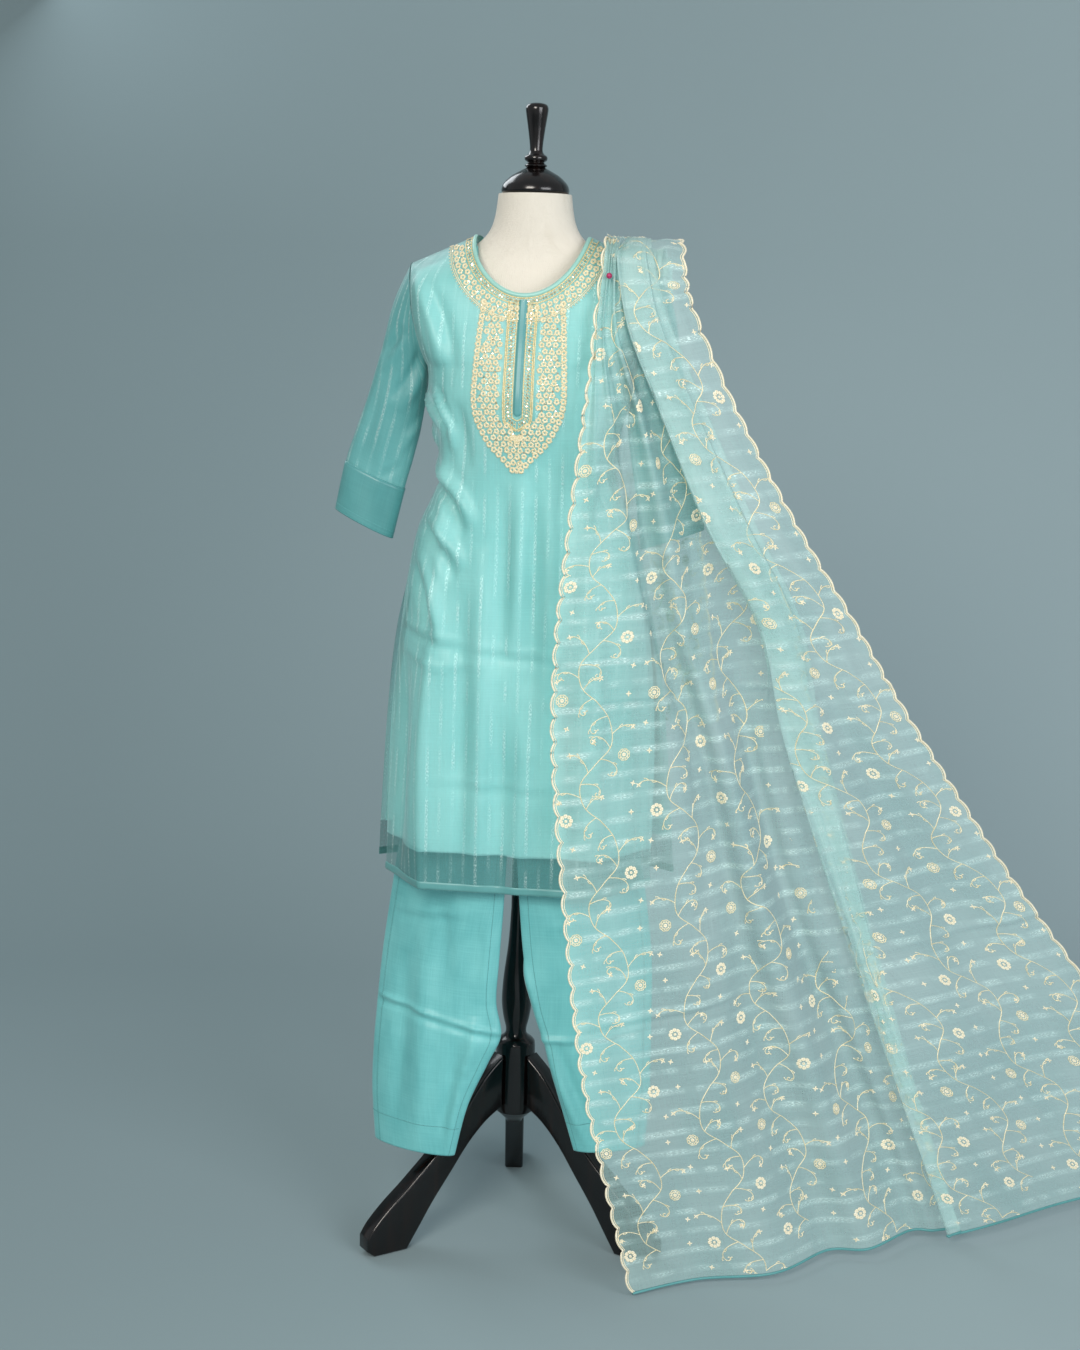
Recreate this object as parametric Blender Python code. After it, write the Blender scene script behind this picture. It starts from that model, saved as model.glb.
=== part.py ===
"""Salwar kameez suit on a turned dress form stand, with its dupatta pinned on one shoulder.

Run with: blender --background --python part.py
Units are metres and +Z is up. The stand's post is modelled on the Z axis. The form and the clothes on
it share a frame that is turned a little about that axis, and a root empty then moves everything so
that the middle of the base of the whole object is at the origin.
"""

import math
from collections import namedtuple

import bmesh
import bpy
from mathutils import Vector

# Driving dimensions
CLOTH = 0.0014  # wall of every cloth panel
BAND_CLOTH = 0.0010  # wall of the strips that lie on a panel
GAP = 0.0003  # clearance at a seam, each side
TURN = math.radians(-8.0)  # the form faces a little to one side of its stand

SHOULDER_SLOPE = 0.43
NECK_HALF_WIDTH = 0.080
NECK_BINDING_WIDTH = 0.006
NECK_POINT_Z = 1.517
FRONT_NECK_DROP = 0.0835
BACK_NECK_DROP = 0.026
SHOULDER_ROLL = 0.060  # how far below the shoulder line a panel reaches its full depth
SHOULDER_HALF_WIDTH = 0.178
ARMHOLE_TOP = 1.475
ARMHOLE_BOTTOM = 1.330
ARMHOLE_HALF_DEPTH = 0.045
SLIT_TOP = 0.98
HEM_Z = 0.565
LINING_HEM_Z = 0.622
LINING_INSET = 0.0080
LINING_DROP = 0.014  # the lining stops this far below the kameez's top edge
CREASE_U = 0.60  # the pressed crease, as a share of the half width
SECTION_POWER = 2.4  # roundness of a body section
HEM_BAND = 0.012
FRONT_SLIT_DEPTH = 0.030
BACK_SLIT_DEPTH = 0.050

# One row for each level of the kameez. half_width is the front's, back_width the back's.
Level = namedtuple("Level", "z half_width back_width front back flat")
LEVELS = (
    Level(1.560, 0.178, 0.178, 0.052, 0.050, 0.0),
    Level(1.517, 0.178, 0.178, 0.062, 0.056, 0.0),
    Level(1.475, 0.178, 0.178, 0.073, 0.066, 0.0),
    Level(1.440, 0.174, 0.174, 0.085, 0.078, 0.0),
    Level(1.400, 0.169, 0.169, 0.096, 0.088, 0.0),
    Level(1.360, 0.160, 0.160, 0.109, 0.092, 0.0),
    Level(1.320, 0.150, 0.150, 0.119, 0.091, 0.0),
    Level(1.285, 0.148, 0.148, 0.125, 0.089, 0.0),
    Level(1.235, 0.135, 0.135, 0.124, 0.085, 0.0),
    Level(1.160, 0.133, 0.133, 0.114, 0.082, 0.0),
    Level(1.090, 0.162, 0.162, 0.114, 0.092, 0.0),
    Level(1.010, 0.178, 0.180, 0.119, 0.103, 0.0),
    Level(0.930, 0.189, 0.198, 0.122, 0.109, 0.5),
    Level(0.820, 0.199, 0.212, 0.124, 0.114, 1.0),
    Level(0.700, 0.202, 0.222, 0.126, 0.113, 1.0),
    Level(0.565, 0.202, 0.231, 0.128, 0.110, 1.0),
    Level(0.500, 0.202, 0.233, 0.128, 0.110, 1.0),
)
YOKE_ROWS = (0.0, 0.12, 0.30, 0.50, 0.75, 1.0)  # shares of the way from a panel's top edge to the next
YOKE_FOOT = 1.300
BODY_ROWS = (1.235, 1.160, 1.090, 1.010, 0.930, 0.820, 0.700)
HALF_COLUMNS = (0.14, 0.26, 0.36, 0.42, 0.449, CREASE_U, 0.75, 0.88, 0.96, 1.0)
LINING_YOKE_ROWS = (0.0, 0.45, 1.0)
LINING_ROWS = (1.235, 1.160, 1.090, 1.010, 0.930, 0.780)
LINING_HALF_COLUMNS = (0.22, 0.36, 0.43, CREASE_U, 0.80, 1.0)

# One row for each ring of the padded form, from the flat base to the top of the neck.
FormRing = namedtuple("FormRing", "z half_width front back")
FORM_RINGS = (
    FormRing(0.800, 0.122, 0.062, 0.068),
    FormRing(0.830, 0.130, 0.068, 0.075),
    FormRing(0.950, 0.136, 0.070, 0.082),
    FormRing(1.060, 0.132, 0.076, 0.076),
    FormRing(1.130, 0.116, 0.084, 0.064),
    FormRing(1.180, 0.114, 0.092, 0.062),
    FormRing(1.235, 0.117, 0.104, 0.066),
    FormRing(1.290, 0.128, 0.106, 0.072),
    FormRing(1.340, 0.136, 0.093, 0.074),
    FormRing(1.390, 0.146, 0.078, 0.070),
    FormRing(1.430, 0.154, 0.063, 0.058),
    FormRing(1.455, 0.155, 0.055, 0.046),
    FormRing(1.470, 0.142, 0.050, 0.041),
    FormRing(1.484, 0.118, 0.047, 0.041),
    FormRing(1.496, 0.095, 0.046, 0.043),
    FormRing(1.508, 0.077, 0.046, 0.048),
    FormRing(1.524, 0.064, 0.047, 0.053),
    FormRing(1.545, 0.057, 0.048, 0.054),
    FormRing(1.5745, 0.053, 0.0495, 0.0525),
)
FORM_SIDES = 22

# Turned wood, each from its foot up
Turn = namedtuple("Turn", "z radius")
CAP_PROFILE = (
    Turn(1.5748, 0.046), Turn(1.5775, 0.0488), Turn(1.5825, 0.0488), Turn(1.590, 0.0455),
    Turn(1.600, 0.035), Turn(1.6075, 0.022), Turn(1.612, 0.0135),
)
FINIAL_PROFILE = (
    Turn(1.6123, 0.0135), Turn(1.615, 0.0162), Turn(1.619, 0.0120), Turn(1.6225, 0.0160),
    Turn(1.6275, 0.0160), Turn(1.632, 0.0108), Turn(1.640, 0.0092), Turn(1.665, 0.0122),
    Turn(1.688, 0.0158), Turn(1.6955, 0.0162), Turn(1.700, 0.0135), Turn(1.702, 0.0075),
)
POST_PROFILE = (
    Turn(0.165, 0.0120), Turn(0.170, 0.0150), Turn(0.182, 0.0270), Turn(0.190, 0.0300),
    Turn(0.288, 0.0300), Turn(0.298, 0.0270), Turn(0.306, 0.0175), Turn(0.316, 0.0160),
    Turn(0.336, 0.0205), Turn(0.362, 0.0232), Turn(0.400, 0.0210), Turn(0.450, 0.0150),
    Turn(0.500, 0.0120), Turn(0.540, 0.0115), Turn(0.7997, 0.0115),
)

# One row for each station of a leg, out from the hub
LegStation = namedtuple("LegStation", "reach top underside")
LEG_STATIONS = (
    LegStation(0.0304, 0.278, 0.197), LegStation(0.060, 0.252, 0.178),
    LegStation(0.090, 0.213, 0.148), LegStation(0.120, 0.172, 0.108),
    LegStation(0.150, 0.138, 0.068), LegStation(0.175, 0.115, 0.030),
    LegStation(0.195, 0.097, 0.0), LegStation(0.225, 0.072, 0.0),
    LegStation(0.250, 0.047, 0.0), LegStation(0.262, 0.029, 0.010),
)
LEG_THICKNESS = 0.030
LEG_BEVEL = 0.006
LEG_DIRECTIONS = {"left": 212.3, "right": 327.7, "back": 90.0}  # degrees about the post

# One row for each ring of a sleeve: its outer and its underarm edge, away from the middle of the body
SleeveRing = namedtuple("SleeveRing", "outer_x outer_z inner_x inner_z half_depth")
SLEEVE_RINGS = (
    SleeveRing(0.2048, 1.4202, 0.1530, 1.3220, 0.040),
    SleeveRing(0.2192, 1.3618, 0.1540, 1.3000, 0.035),
    SleeveRing(0.2411, 1.2880, 0.1610, 1.2450, 0.028),
    SleeveRing(0.2630, 1.2250, 0.1735, 1.1920, 0.023),
    SleeveRing(0.2765, 1.1830, 0.1868, 1.1446, 0.020),
    SleeveRing(0.2916, 1.1109, 0.2052, 1.0691, 0.021),
)
SLEEVE_SIDES = 14
PLACKET_HALF_WIDTH = 0.0055
PLACKET_TOP = 1.424
PLACKET_BOTTOM = 1.262
CUFF_TOP_RING = 4  # the doubled cuff starts at this row of SLEEVE_RINGS
SLEEVE_PIVOT = (0.166, 1.400)
SLEEVE_SWING = {"left": 0.0, "right": math.radians(6.0)}  # how far each hangs in towards the body
SLEEVE_SEAM = 0.0012

# One row for each ring of a trouser leg. Depths are in front of the post.
TrouserRing = namedtuple("TrouserRing", "z outer inner depth half_depth bow")
TROUSER_RINGS = {
    "left": (
        TrouserRing(0.152, 0.2040, 0.0710, 0.128, 0.016, 1.2),
        TrouserRing(0.230, 0.2115, 0.0530, 0.122, 0.017, 1.2),
        TrouserRing(0.298, 0.2113, 0.0240, 0.115, 0.018, 1.2),
        TrouserRing(0.342, 0.2100, 0.0060, 0.110, 0.018, 1.3),
        TrouserRing(0.391, 0.2085, 0.0150, 0.105, 0.017, 1.5),
        TrouserRing(0.452, 0.2050, 0.0130, 0.100, 0.014, 1.8),
        TrouserRing(0.550, 0.1930, 0.0080, 0.095, 0.011, 2.1),
        TrouserRing(0.700, 0.1700, 0.0030, 0.094, 0.009, 2.2),
    ),
    "right": (
        TrouserRing(0.172, 0.2120, 0.1080, 0.128, 0.016, 1.2),
        TrouserRing(0.247, 0.2156, 0.0853, 0.122, 0.017, 1.2),
        TrouserRing(0.298, 0.2150, 0.0700, 0.115, 0.018, 1.2),
        TrouserRing(0.336, 0.2140, 0.0590, 0.110, 0.018, 1.3),
        TrouserRing(0.391, 0.2120, 0.0400, 0.105, 0.017, 1.5),
        TrouserRing(0.455, 0.2080, 0.0245, 0.100, 0.014, 1.8),
        TrouserRing(0.550, 0.1950, 0.0140, 0.095, 0.011, 2.1),
        TrouserRing(0.700, 0.1700, 0.0030, 0.094, 0.009, 2.2),
    ),
}
TROUSER_SIDES = 16
SeatRow = namedtuple("SeatRow", "z half_width depth half_depth")
SEAT_ROWS = (
    SeatRow(0.780, 0.158, 0.093, 0.0075),
    SeatRow(0.900, 0.146, 0.092, 0.0070),
    SeatRow(1.020, 0.132, 0.092, 0.0070),
)
SEAT_BOW = 2.2  # how fast the trousers curve back round the form: metres back for each metre out, squared
WAISTBAND_HEIGHT = 0.036

# One row for each station of the dupatta's front fall: both edges, then where each fold line crosses
# it, as a share of the way from the left edge to the right one
Fall = namedtuple("Fall", "left right lap crest_a dip_a crest_b dip_b tuck fold middle")
FALLS = (
    Fall((0.101, -0.088, 1.478), (0.210, -0.091, 1.468), 0.02, 0.05, 0.09, 0.12, 0.15, 0.25, 0.165, 0.55),
    Fall((0.090, -0.126, 1.375), (0.227, -0.086, 1.410), 0.03, 0.08, 0.14, 0.20, 0.27, 0.40, 0.330, 0.65),
    Fall((0.078, -0.152, 1.260), (0.290, -0.062, 1.282), 0.08, 0.19, 0.29, 0.36, 0.45, 0.58, 0.500, 0.75),
    Fall((0.061, -0.160, 1.090), (0.380, -0.050, 1.125), 0.13, 0.27, 0.34, 0.43, 0.54, 0.67, 0.610, 0.80),
    Fall((0.048, -0.164, 0.935), (0.483, -0.020, 0.968), 0.15, 0.31, 0.37, 0.43, 0.56, 0.71, 0.677, 0.84),
    Fall((0.050, -0.168, 0.760), (0.584, 0.010, 0.808), 0.14, 0.34, 0.40, 0.46, 0.53, 0.58, 0.631, 0.81),
    Fall((0.0785, -0.200, 0.500), (0.750, 0.060, 0.575), 0.13, 0.28, 0.36, 0.42, 0.49, 0.54, 0.597, 0.80),
    Fall((0.110, -0.235, 0.285), (0.935, 0.105, 0.335), 0.11, 0.24, 0.33, 0.40, 0.47, 0.51, 0.558, 0.78),
    Fall((0.180, -0.252, 0.008), (1.150, 0.160, 0.034), 0.10, 0.22, 0.31, 0.38, 0.45, 0.49, 0.525, 0.76),
)
# How far each fold line stands behind the straight line between the edges, at the same stations
Relief = namedtuple("Relief", "lap crest_a dip_a crest_b dip_b tuck fold middle")
RELIEFS = (
    Relief(-0.003, -0.004, 0.001, -0.004, 0.002, 0.003, -0.009, -0.004),
    Relief(-0.004, -0.008, 0.003, -0.008, 0.004, 0.005, -0.011, -0.008),
    Relief(-0.006, -0.014, 0.004, -0.015, 0.015, 0.018, -0.016, -0.010),
    Relief(-0.008, -0.018, 0.006, -0.018, 0.020, 0.022, -0.020, -0.014),
    Relief(-0.010, -0.020, 0.008, -0.018, 0.026, 0.028, -0.022, -0.016),
    Relief(-0.010, -0.018, 0.008, -0.014, 0.022, 0.014, -0.022, -0.014),
    Relief(-0.006, -0.020, 0.010, -0.010, 0.022, 0.008, -0.022, -0.004),
    Relief(-0.004, -0.022, 0.012, -0.008, 0.022, 0.006, -0.024, 0.008),
    Relief(0.006, -0.024, 0.014, -0.006, 0.020, 0.004, -0.026, 0.012),
)
FALL_ROWS_PER_STATION = 4
FALL_COLUMNS_PER_LINE = 2
# The back fall: its two sides and how deep its pleats are
BackFall = namedtuple("BackFall", "z near_x far_x depth pleat")
BACK_FALLS = (
    BackFall(1.425, 0.104, 0.196, 0.092, 0.002),
    BackFall(1.350, 0.100, 0.215, 0.112, 0.005),
    BackFall(1.200, 0.094, 0.245, 0.124, 0.009),
    BackFall(1.000, 0.088, 0.275, 0.134, 0.012),
    BackFall(0.780, 0.082, 0.305, 0.142, 0.014),
)
BACK_PLEATS = 5
BACK_ROWS = 9
# The folded stack that lies over the shoulder: where along the shoulder, and how thick
Stack = namedtuple("Stack", "x thickness")
STACKS = (
    Stack(0.105, 0.007), Stack(0.122, 0.012), Stack(0.140, 0.018), Stack(0.158, 0.024),
    Stack(0.1765, 0.029), Stack(0.190, 0.031), Stack(0.202, 0.030),
)
STACK_HELD_TO = 0.1765  # past this the stack stands out level over the sleeve's head
STACK_FRONT_DROP = 0.018
STACK_BACK_DROP = 0.045
STACK_LIFT = 0.0030
PIPING_RADIUS = 0.0020
PIN_HEAD_RADIUS = 0.0042

# Colour, roughness and metallic value of each finish
FINISHES = {
    "aqua_organza": ((0.30, 0.66, 0.62), 0.38, 0.0),
    "aqua_lining": ((0.27, 0.60, 0.57), 0.55, 0.0),
    "aqua_trouser": ((0.16, 0.52, 0.50), 0.50, 0.0),
    "aqua_binding": ((0.20, 0.56, 0.52), 0.50, 0.0),
    "dupatta_organza": ((0.36, 0.66, 0.66), 0.42, 0.0),
    "form_jersey": ((0.80, 0.78, 0.75), 0.90, 0.0),
    "lacquered_wood": ((0.025, 0.014, 0.012), 0.18, 0.0),
    "pin_bead": ((0.25, 0.01, 0.06), 0.25, 0.0),
}


def remove_everything():
    """Empty the scene of its objects."""
    for item in list(bpy.data.objects):
        bpy.data.objects.remove(item, do_unlink=True)


def finish(name):
    """Return the Principled material of one finish, made once."""
    known = bpy.data.materials.get(name)
    if known:
        return known
    colour, roughness, metallic = FINISHES[name]
    material = bpy.data.materials.new(name)
    material.use_nodes = True
    shader = material.node_tree.nodes["Principled BSDF"]
    shader.inputs["Base Color"].default_value = (*colour, 1.0)
    shader.inputs["Roughness"].default_value = roughness
    shader.inputs["Metallic"].default_value = metallic
    material.diffuse_color = (*colour, 1.0)
    return material


def smooth_value(rows, column, at):
    """Read a column of a table at a key between its rows, on a smooth curve. The first column is the key."""
    keys = [row[0] for row in rows]
    values = [getattr(row, column) for row in rows]
    if keys[0] > keys[-1]:
        keys, values = keys[::-1], values[::-1]
    at = min(max(at, keys[0]), keys[-1])
    i = max(k for k in range(len(keys) - 1) if keys[k] <= at or k == 0)
    span = keys[i + 1] - keys[i]

    def slope(k):
        low, high = max(k - 1, 0), min(k + 1, len(keys) - 1)
        return (values[high] - values[low]) / (keys[high] - keys[low]) * span

    t = (at - keys[i]) / span
    return (
        values[i] * (2 * t**3 - 3 * t**2 + 1)
        + slope(i) * (t**3 - 2 * t**2 + t)
        + values[i + 1] * (3 * t**2 - 2 * t**3)
        + slope(i + 1) * (t**3 - t**2)
    )


def through(points, steps):
    """Return points on a smooth curve through the given ones, with so many steps between each two."""
    last = len(points) - 1
    curve = []
    for i in range(last):
        before, here, there, after = (points[min(max(k, 0), last)] for k in (i - 1, i, i + 1, i + 2))
        for step in range(steps):
            t = step / steps
            curve.append(
                here
                + (there - before) * (t / 2)
                + (before * 2 - here * 5 + there * 4 - after) * (t * t / 2)
                + (here * 3 - before - there * 3 + after) * (t**3 / 2)
            )
    return curve + [points[last]]


def add_object(name, vertices, faces, material, parent, sharp=40.0):
    """Add a mesh object, smooth but for edges sharper than the angle given in degrees."""
    mesh = bpy.data.meshes.new(name)
    mesh.from_pydata([tuple(v) for v in vertices], [], faces)
    mesh.materials.append(finish(material))
    mesh.shade_smooth()
    mesh.set_sharp_from_angle(angle=math.radians(sharp))
    item = bpy.data.objects.new(name, mesh)
    bpy.context.scene.collection.objects.link(item)
    item.parent = parent
    return item


def cells_of(rows, columns, ring, skipped):
    """List the four-cornered cells of a grid of points, as point numbers."""
    cells = []
    for r in range(rows - 1):
        for c in range(columns if ring else columns - 1):
            here, there = r * columns + c, r * columns + (c + 1) % columns
            if (r, c) not in skipped:
                cells.append((here, there, there + columns, here + columns))
    return cells


def halves_of(cell, points):
    """Split a four-cornered cell along its shorter diagonal."""
    a, b, c, d = cell
    if (points[a] - points[c]).length <= (points[b] - points[d]).length:
        return [(a, b, c), (a, c, d)]
    return [(a, b, d), (b, c, d)]


def normals_of(points, cells):
    """Return a unit normal at each point, from the cells round it."""
    totals = [Vector() for _ in points]
    for cell in cells:
        a, b, c, d = (points[i] for i in cell)
        across = (c - a).cross(d - b)
        for i in cell:
            totals[i] += across
    return [n.normalized() if n.length else n for n in totals]


def cloth(
    name, grid, material, parent, facing=None, ring=False, skipped=(), wall=CLOTH, under=None, keep=None
):
    """Add a closed wall of cloth.

    grid holds its outer face, a list of rows of points, and ring joins each row's ends. facing is the
    rough way that an open panel's outer face looks; a ring looks away from its own middle. skipped
    cells are left open. under is the grid of the inner face, where it isn't simply a wall's thickness
    in. keep moves an inner point that would leave the piece's own space. Both faces are split into the
    same triangles, so that the wall is a true wall where the cloth twists.
    """
    rows, columns = len(grid), len(grid[0])
    outer = [p for row in grid for p in row]
    cells = cells_of(rows, columns, ring, set(skipped))
    normals = normals_of(outer, cells)
    if facing is None:
        middles = [sum(row, Vector()) / columns for row in grid]
        looks = [p - middles[i // columns] for i, p in enumerate(outer)]
    else:
        looks = [facing] * len(outer)
    if sum(n.dot(look) for n, look in zip(normals, looks)) < 0:
        cells = [cell[::-1] for cell in cells]
        normals = [-n for n in normals]
    if under:
        inner = [p for row in under for p in row]
    else:
        inner = [p - n * wall for p, n in zip(outer, normals)]
    if keep:
        inner = [keep(p) for p in inner]
    used = sorted({i for cell in cells for i in cell})
    place = {i: k for k, i in enumerate(used)}
    count = len(used)
    faces = [tuple(place[i] for i in half) for cell in cells for half in halves_of(cell, outer)]
    edges = {(f[k], f[(k + 1) % 3]) for f in faces for k in range(3)}
    rims = [(b, a, a + count, b + count) for a, b in edges if (b, a) not in edges]
    backs = [tuple(i + count for i in reversed(f)) for f in faces]
    vertices = [outer[i] for i in used] + [inner[i] for i in used]
    return add_object(name, vertices, faces + backs + sorted(rims), material, parent)


def turned(name, profile, material, parent, sides=16):
    """Add a solid of revolution on the Z axis, from a profile that runs up it."""
    rings = [
        Vector((row.radius * math.cos(a), row.radius * math.sin(a), row.z))
        for row in profile
        for a in (2 * math.pi * k / sides for k in range(sides))
    ]
    faces = cells_of(len(profile), sides, True, set())
    faces.append(tuple(reversed(range(sides))))
    faces.append(tuple(range(len(rings) - sides, len(rings))))
    return add_object(name, rings, faces, material, parent)


# The stand


def add_leg(side, root):
    """Add one cabriole leg, a bevelled plank cut to a curved outline."""
    top = through([Vector((s.reach, 0, s.top)) for s in LEG_STATIONS], 2)
    bottom = [Vector((s.reach, 0, s.underside)) for s in LEG_STATIONS]
    outline = top + bottom[::-1]
    body = bmesh.new()
    half = Vector((0, LEG_THICKNESS / 2, 0))
    face = body.faces.new([body.verts.new(p - half) for p in outline])
    pushed = bmesh.ops.extrude_face_region(body, geom=[face])
    moved = [v for v in pushed["geom"] if isinstance(v, bmesh.types.BMVert)]
    bmesh.ops.translate(body, verts=moved, vec=half * 2)
    bmesh.ops.recalc_face_normals(body, faces=body.faces)
    side_edges = [e for e in body.edges if e.verts[0].co.y == e.verts[1].co.y]
    rims = [e for e in side_edges if e.calc_face_angle(0) > math.radians(60)]
    bmesh.ops.bevel(
        body, geom=rims, offset=LEG_BEVEL, segments=2, affect="EDGES", profile=0.5, clamp_overlap=True
    )
    mesh = bpy.data.meshes.new(f"stand_leg_{side}")
    body.to_mesh(mesh)
    body.free()
    mesh.materials.append(finish("lacquered_wood"))
    mesh.shade_smooth()
    mesh.set_sharp_from_angle(angle=math.radians(35))
    leg = bpy.data.objects.new(f"stand_leg_{side}", mesh)
    bpy.context.scene.collection.objects.link(leg)
    leg.rotation_euler.z = math.radians(LEG_DIRECTIONS[side])
    leg.parent = root


def add_form(dress):
    """Add the padded form with its neck, one smooth closed body on a flat base."""
    rings = []
    for row in FORM_RINGS:
        for k in range(FORM_SIDES):
            angle = 2 * math.pi * k / FORM_SIDES
            depth = row.back if math.sin(angle) > 0 else row.front
            rings.append(Vector((row.half_width * math.cos(angle), depth * math.sin(angle), row.z)))
    faces = cells_of(len(FORM_RINGS), FORM_SIDES, True, set())
    faces.append(tuple(reversed(range(FORM_SIDES))))
    faces.append(tuple(range(len(rings) - FORM_SIDES, len(rings))))
    add_object("form_body", rings, faces, "form_jersey", dress, sharp=60.0)


def add_stand(root, dress):
    """Add the turned post, its three legs, the padded form, its cap and its finial."""
    turned("stand_post", POST_PROFILE, "lacquered_wood", root)
    for side in LEG_DIRECTIONS:
        add_leg(side, root)
    add_form(dress)
    turned("neck_cap", CAP_PROFILE, "lacquered_wood", root, sides=24)
    turned("finial", FINIAL_PROFILE, "lacquered_wood", root)


# The kameez


def shoulder_height(x):
    """Height of the shoulder line this far from the middle."""
    return NECK_POINT_Z - (abs(x) - NECK_HALF_WIDTH) * SHOULDER_SLOPE


def top_edge(x, front):
    """Height of a panel's top edge this far from the middle: neckline, then shoulder seam."""
    if abs(x) >= NECK_HALF_WIDTH:
        return shoulder_height(x)
    drop = FRONT_NECK_DROP if front else BACK_NECK_DROP
    return NECK_POINT_Z - drop * (1 - (x / NECK_HALF_WIDTH) ** 2) ** 0.6


def armhole_depth(z):
    """How far the armhole's edge stands from the middle plane at this height."""
    middle, half = (ARMHOLE_TOP + ARMHOLE_BOTTOM) / 2, (ARMHOLE_TOP - ARMHOLE_BOTTOM) / 2
    return ARMHOLE_HALF_DEPTH * math.sqrt(max(1 - ((z - middle) / half) ** 2, 0))


def kameez_point(front, u, z, inset=0.0):
    """Point on the kameez's outer face: u runs from -1 to 1 across the panel, z is its height."""
    half = smooth_value(LEVELS, "half_width" if front else "back_width", z) - inset
    full = smooth_value(LEVELS, "front" if front else "back", z) - inset
    flat = smooth_value(LEVELS, "flat", z)
    slit = max(SLIT_TOP - z, 0) / (SLIT_TOP - HEM_Z) * (FRONT_SLIT_DEPTH if front else BACK_SLIT_DEPTH)
    edge = max(armhole_depth(z), slit)
    x = u * half
    fallen = min(max(shoulder_height(x) - inset - z, 0) / SHOULDER_ROLL, 1)
    rolled = full * math.sqrt(1 - (1 - fallen) ** 2)
    edge = min(edge, rolled)
    oval = max(1 - abs(u) ** SECTION_POWER, 0) ** (1 / SECTION_POWER)
    pressed = min((1 - abs(u)) / (1 - CREASE_U), 1)
    y = edge + (rolled - edge) * (oval + (pressed - oval) * flat)
    return Vector((x, -max(y, GAP) if front else max(y, GAP), z))


def across(half_columns):
    """Both halves of a panel's columns, from left to right."""
    return [-u for u in reversed(half_columns)] + [0.0] + list(half_columns)


def panel_grid(front, columns, yoke_rows, body_rows, hem, inset=0.0, drop=0.0):
    """Rows of points of one body panel, from its top edge down to its hem."""
    grid = []
    for share in yoke_rows:
        row = []
        for u in columns:
            top = top_edge(u * SHOULDER_HALF_WIDTH, front) - drop
            row.append(kameez_point(front, u, top + (YOKE_FOOT - top) * share, inset))
        grid.append(row)
    grid += [[kameez_point(front, u, z, inset) for u in columns] for z in (*body_rows, hem)]
    return grid


def on_its_side(front):
    """Return the rule that keeps a panel's inner face on its own side of the side seams."""
    side = -1 if front else 1
    return lambda p: Vector((p.x, side * max(side * p.y, GAP), p.z))


def lay_strip(name, base, material, parent, facing, lift=2 * GAP):
    """Add a strip that lies on a surface: base gives rows of points on it, moved out by lift."""
    flat = [p for row in base for p in row]
    normals = normals_of(flat, cells_of(len(base), len(base[0]), False, set()))
    sign = 1 if sum(n.dot(facing) for n in normals) > 0 else -1
    columns = len(base[0])
    lifted = [
        [p + normals[r * columns + c] * sign * (lift + BAND_CLOTH) for c, p in enumerate(row)]
        for r, row in enumerate(base)
    ]
    cloth(name, lifted, material, parent, facing=facing, wall=BAND_CLOTH)


def add_body_panels(dress):
    """Add the kameez's front and back and the lining's front and back."""
    for side in ("front", "back"):
        front = side == "front"
        facing = Vector((0, -1 if front else 1, 0))
        shape = panel_grid(front, across(HALF_COLUMNS), YOKE_ROWS, BODY_ROWS, HEM_Z)
        cloth(f"kameez_{side}", shape, "aqua_organza", dress, facing, keep=on_its_side(front))
        columns = across(LINING_HALF_COLUMNS)
        lining = panel_grid(
            front, columns, LINING_YOKE_ROWS, LINING_ROWS, LINING_HEM_Z, LINING_INSET, LINING_DROP
        )
        cloth(f"lining_{side}", lining, "aqua_lining", dress, facing, keep=on_its_side(front))
        band_edges = (HEM_Z + HEM_BAND, HEM_Z + BAND_CLOTH)
        band = [[kameez_point(front, u, z) for u in across(HALF_COLUMNS)] for z in band_edges]
        lay_strip(f"kameez_hem_{side}", band, "aqua_binding", dress, facing)


def add_neck_binding(dress):
    """Add the binding strips round the neckline, one on the front and one on the back."""
    steps = 16
    for side in ("front", "back"):
        front = side == "front"
        rows = []
        for inwards in (0.0005, NECK_BINDING_WIDTH):
            row = []
            for k in range(steps + 1):
                x = -(NECK_HALF_WIDTH + inwards) * math.cos(math.pi * k / steps)
                edge = min(max(x / (1 + inwards / NECK_HALF_WIDTH), -NECK_HALF_WIDTH), NECK_HALF_WIDTH)
                z = min(top_edge(edge, front) - inwards, shoulder_height(x) - 0.002)
                half = smooth_value(LEVELS, "half_width", z)
                row.append(kameez_point(front, x / half, z))
            rows.append(row)
        facing = Vector((0, -1 if front else 1, 0))
        lay_strip(f"neck_binding_{side}", rows, "aqua_binding", dress, facing, lift=4 * GAP)


def add_placket(dress):
    """Add the buttonless placket strip down the middle of the front."""
    steps = 6
    rows = []
    for k in range(steps + 1):
        z = PLACKET_TOP + (PLACKET_BOTTOM - PLACKET_TOP) * k / steps
        wide = PLACKET_HALF_WIDTH if k < steps else PLACKET_HALF_WIDTH / 2
        level = smooth_value(LEVELS, "half_width", z)
        rows.append([kameez_point(True, x / level, z) for x in (-wide, 0.0, wide)])
    lay_strip("placket", rows, "aqua_binding", dress, Vector((0, -1, 0)), lift=4 * GAP)


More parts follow.
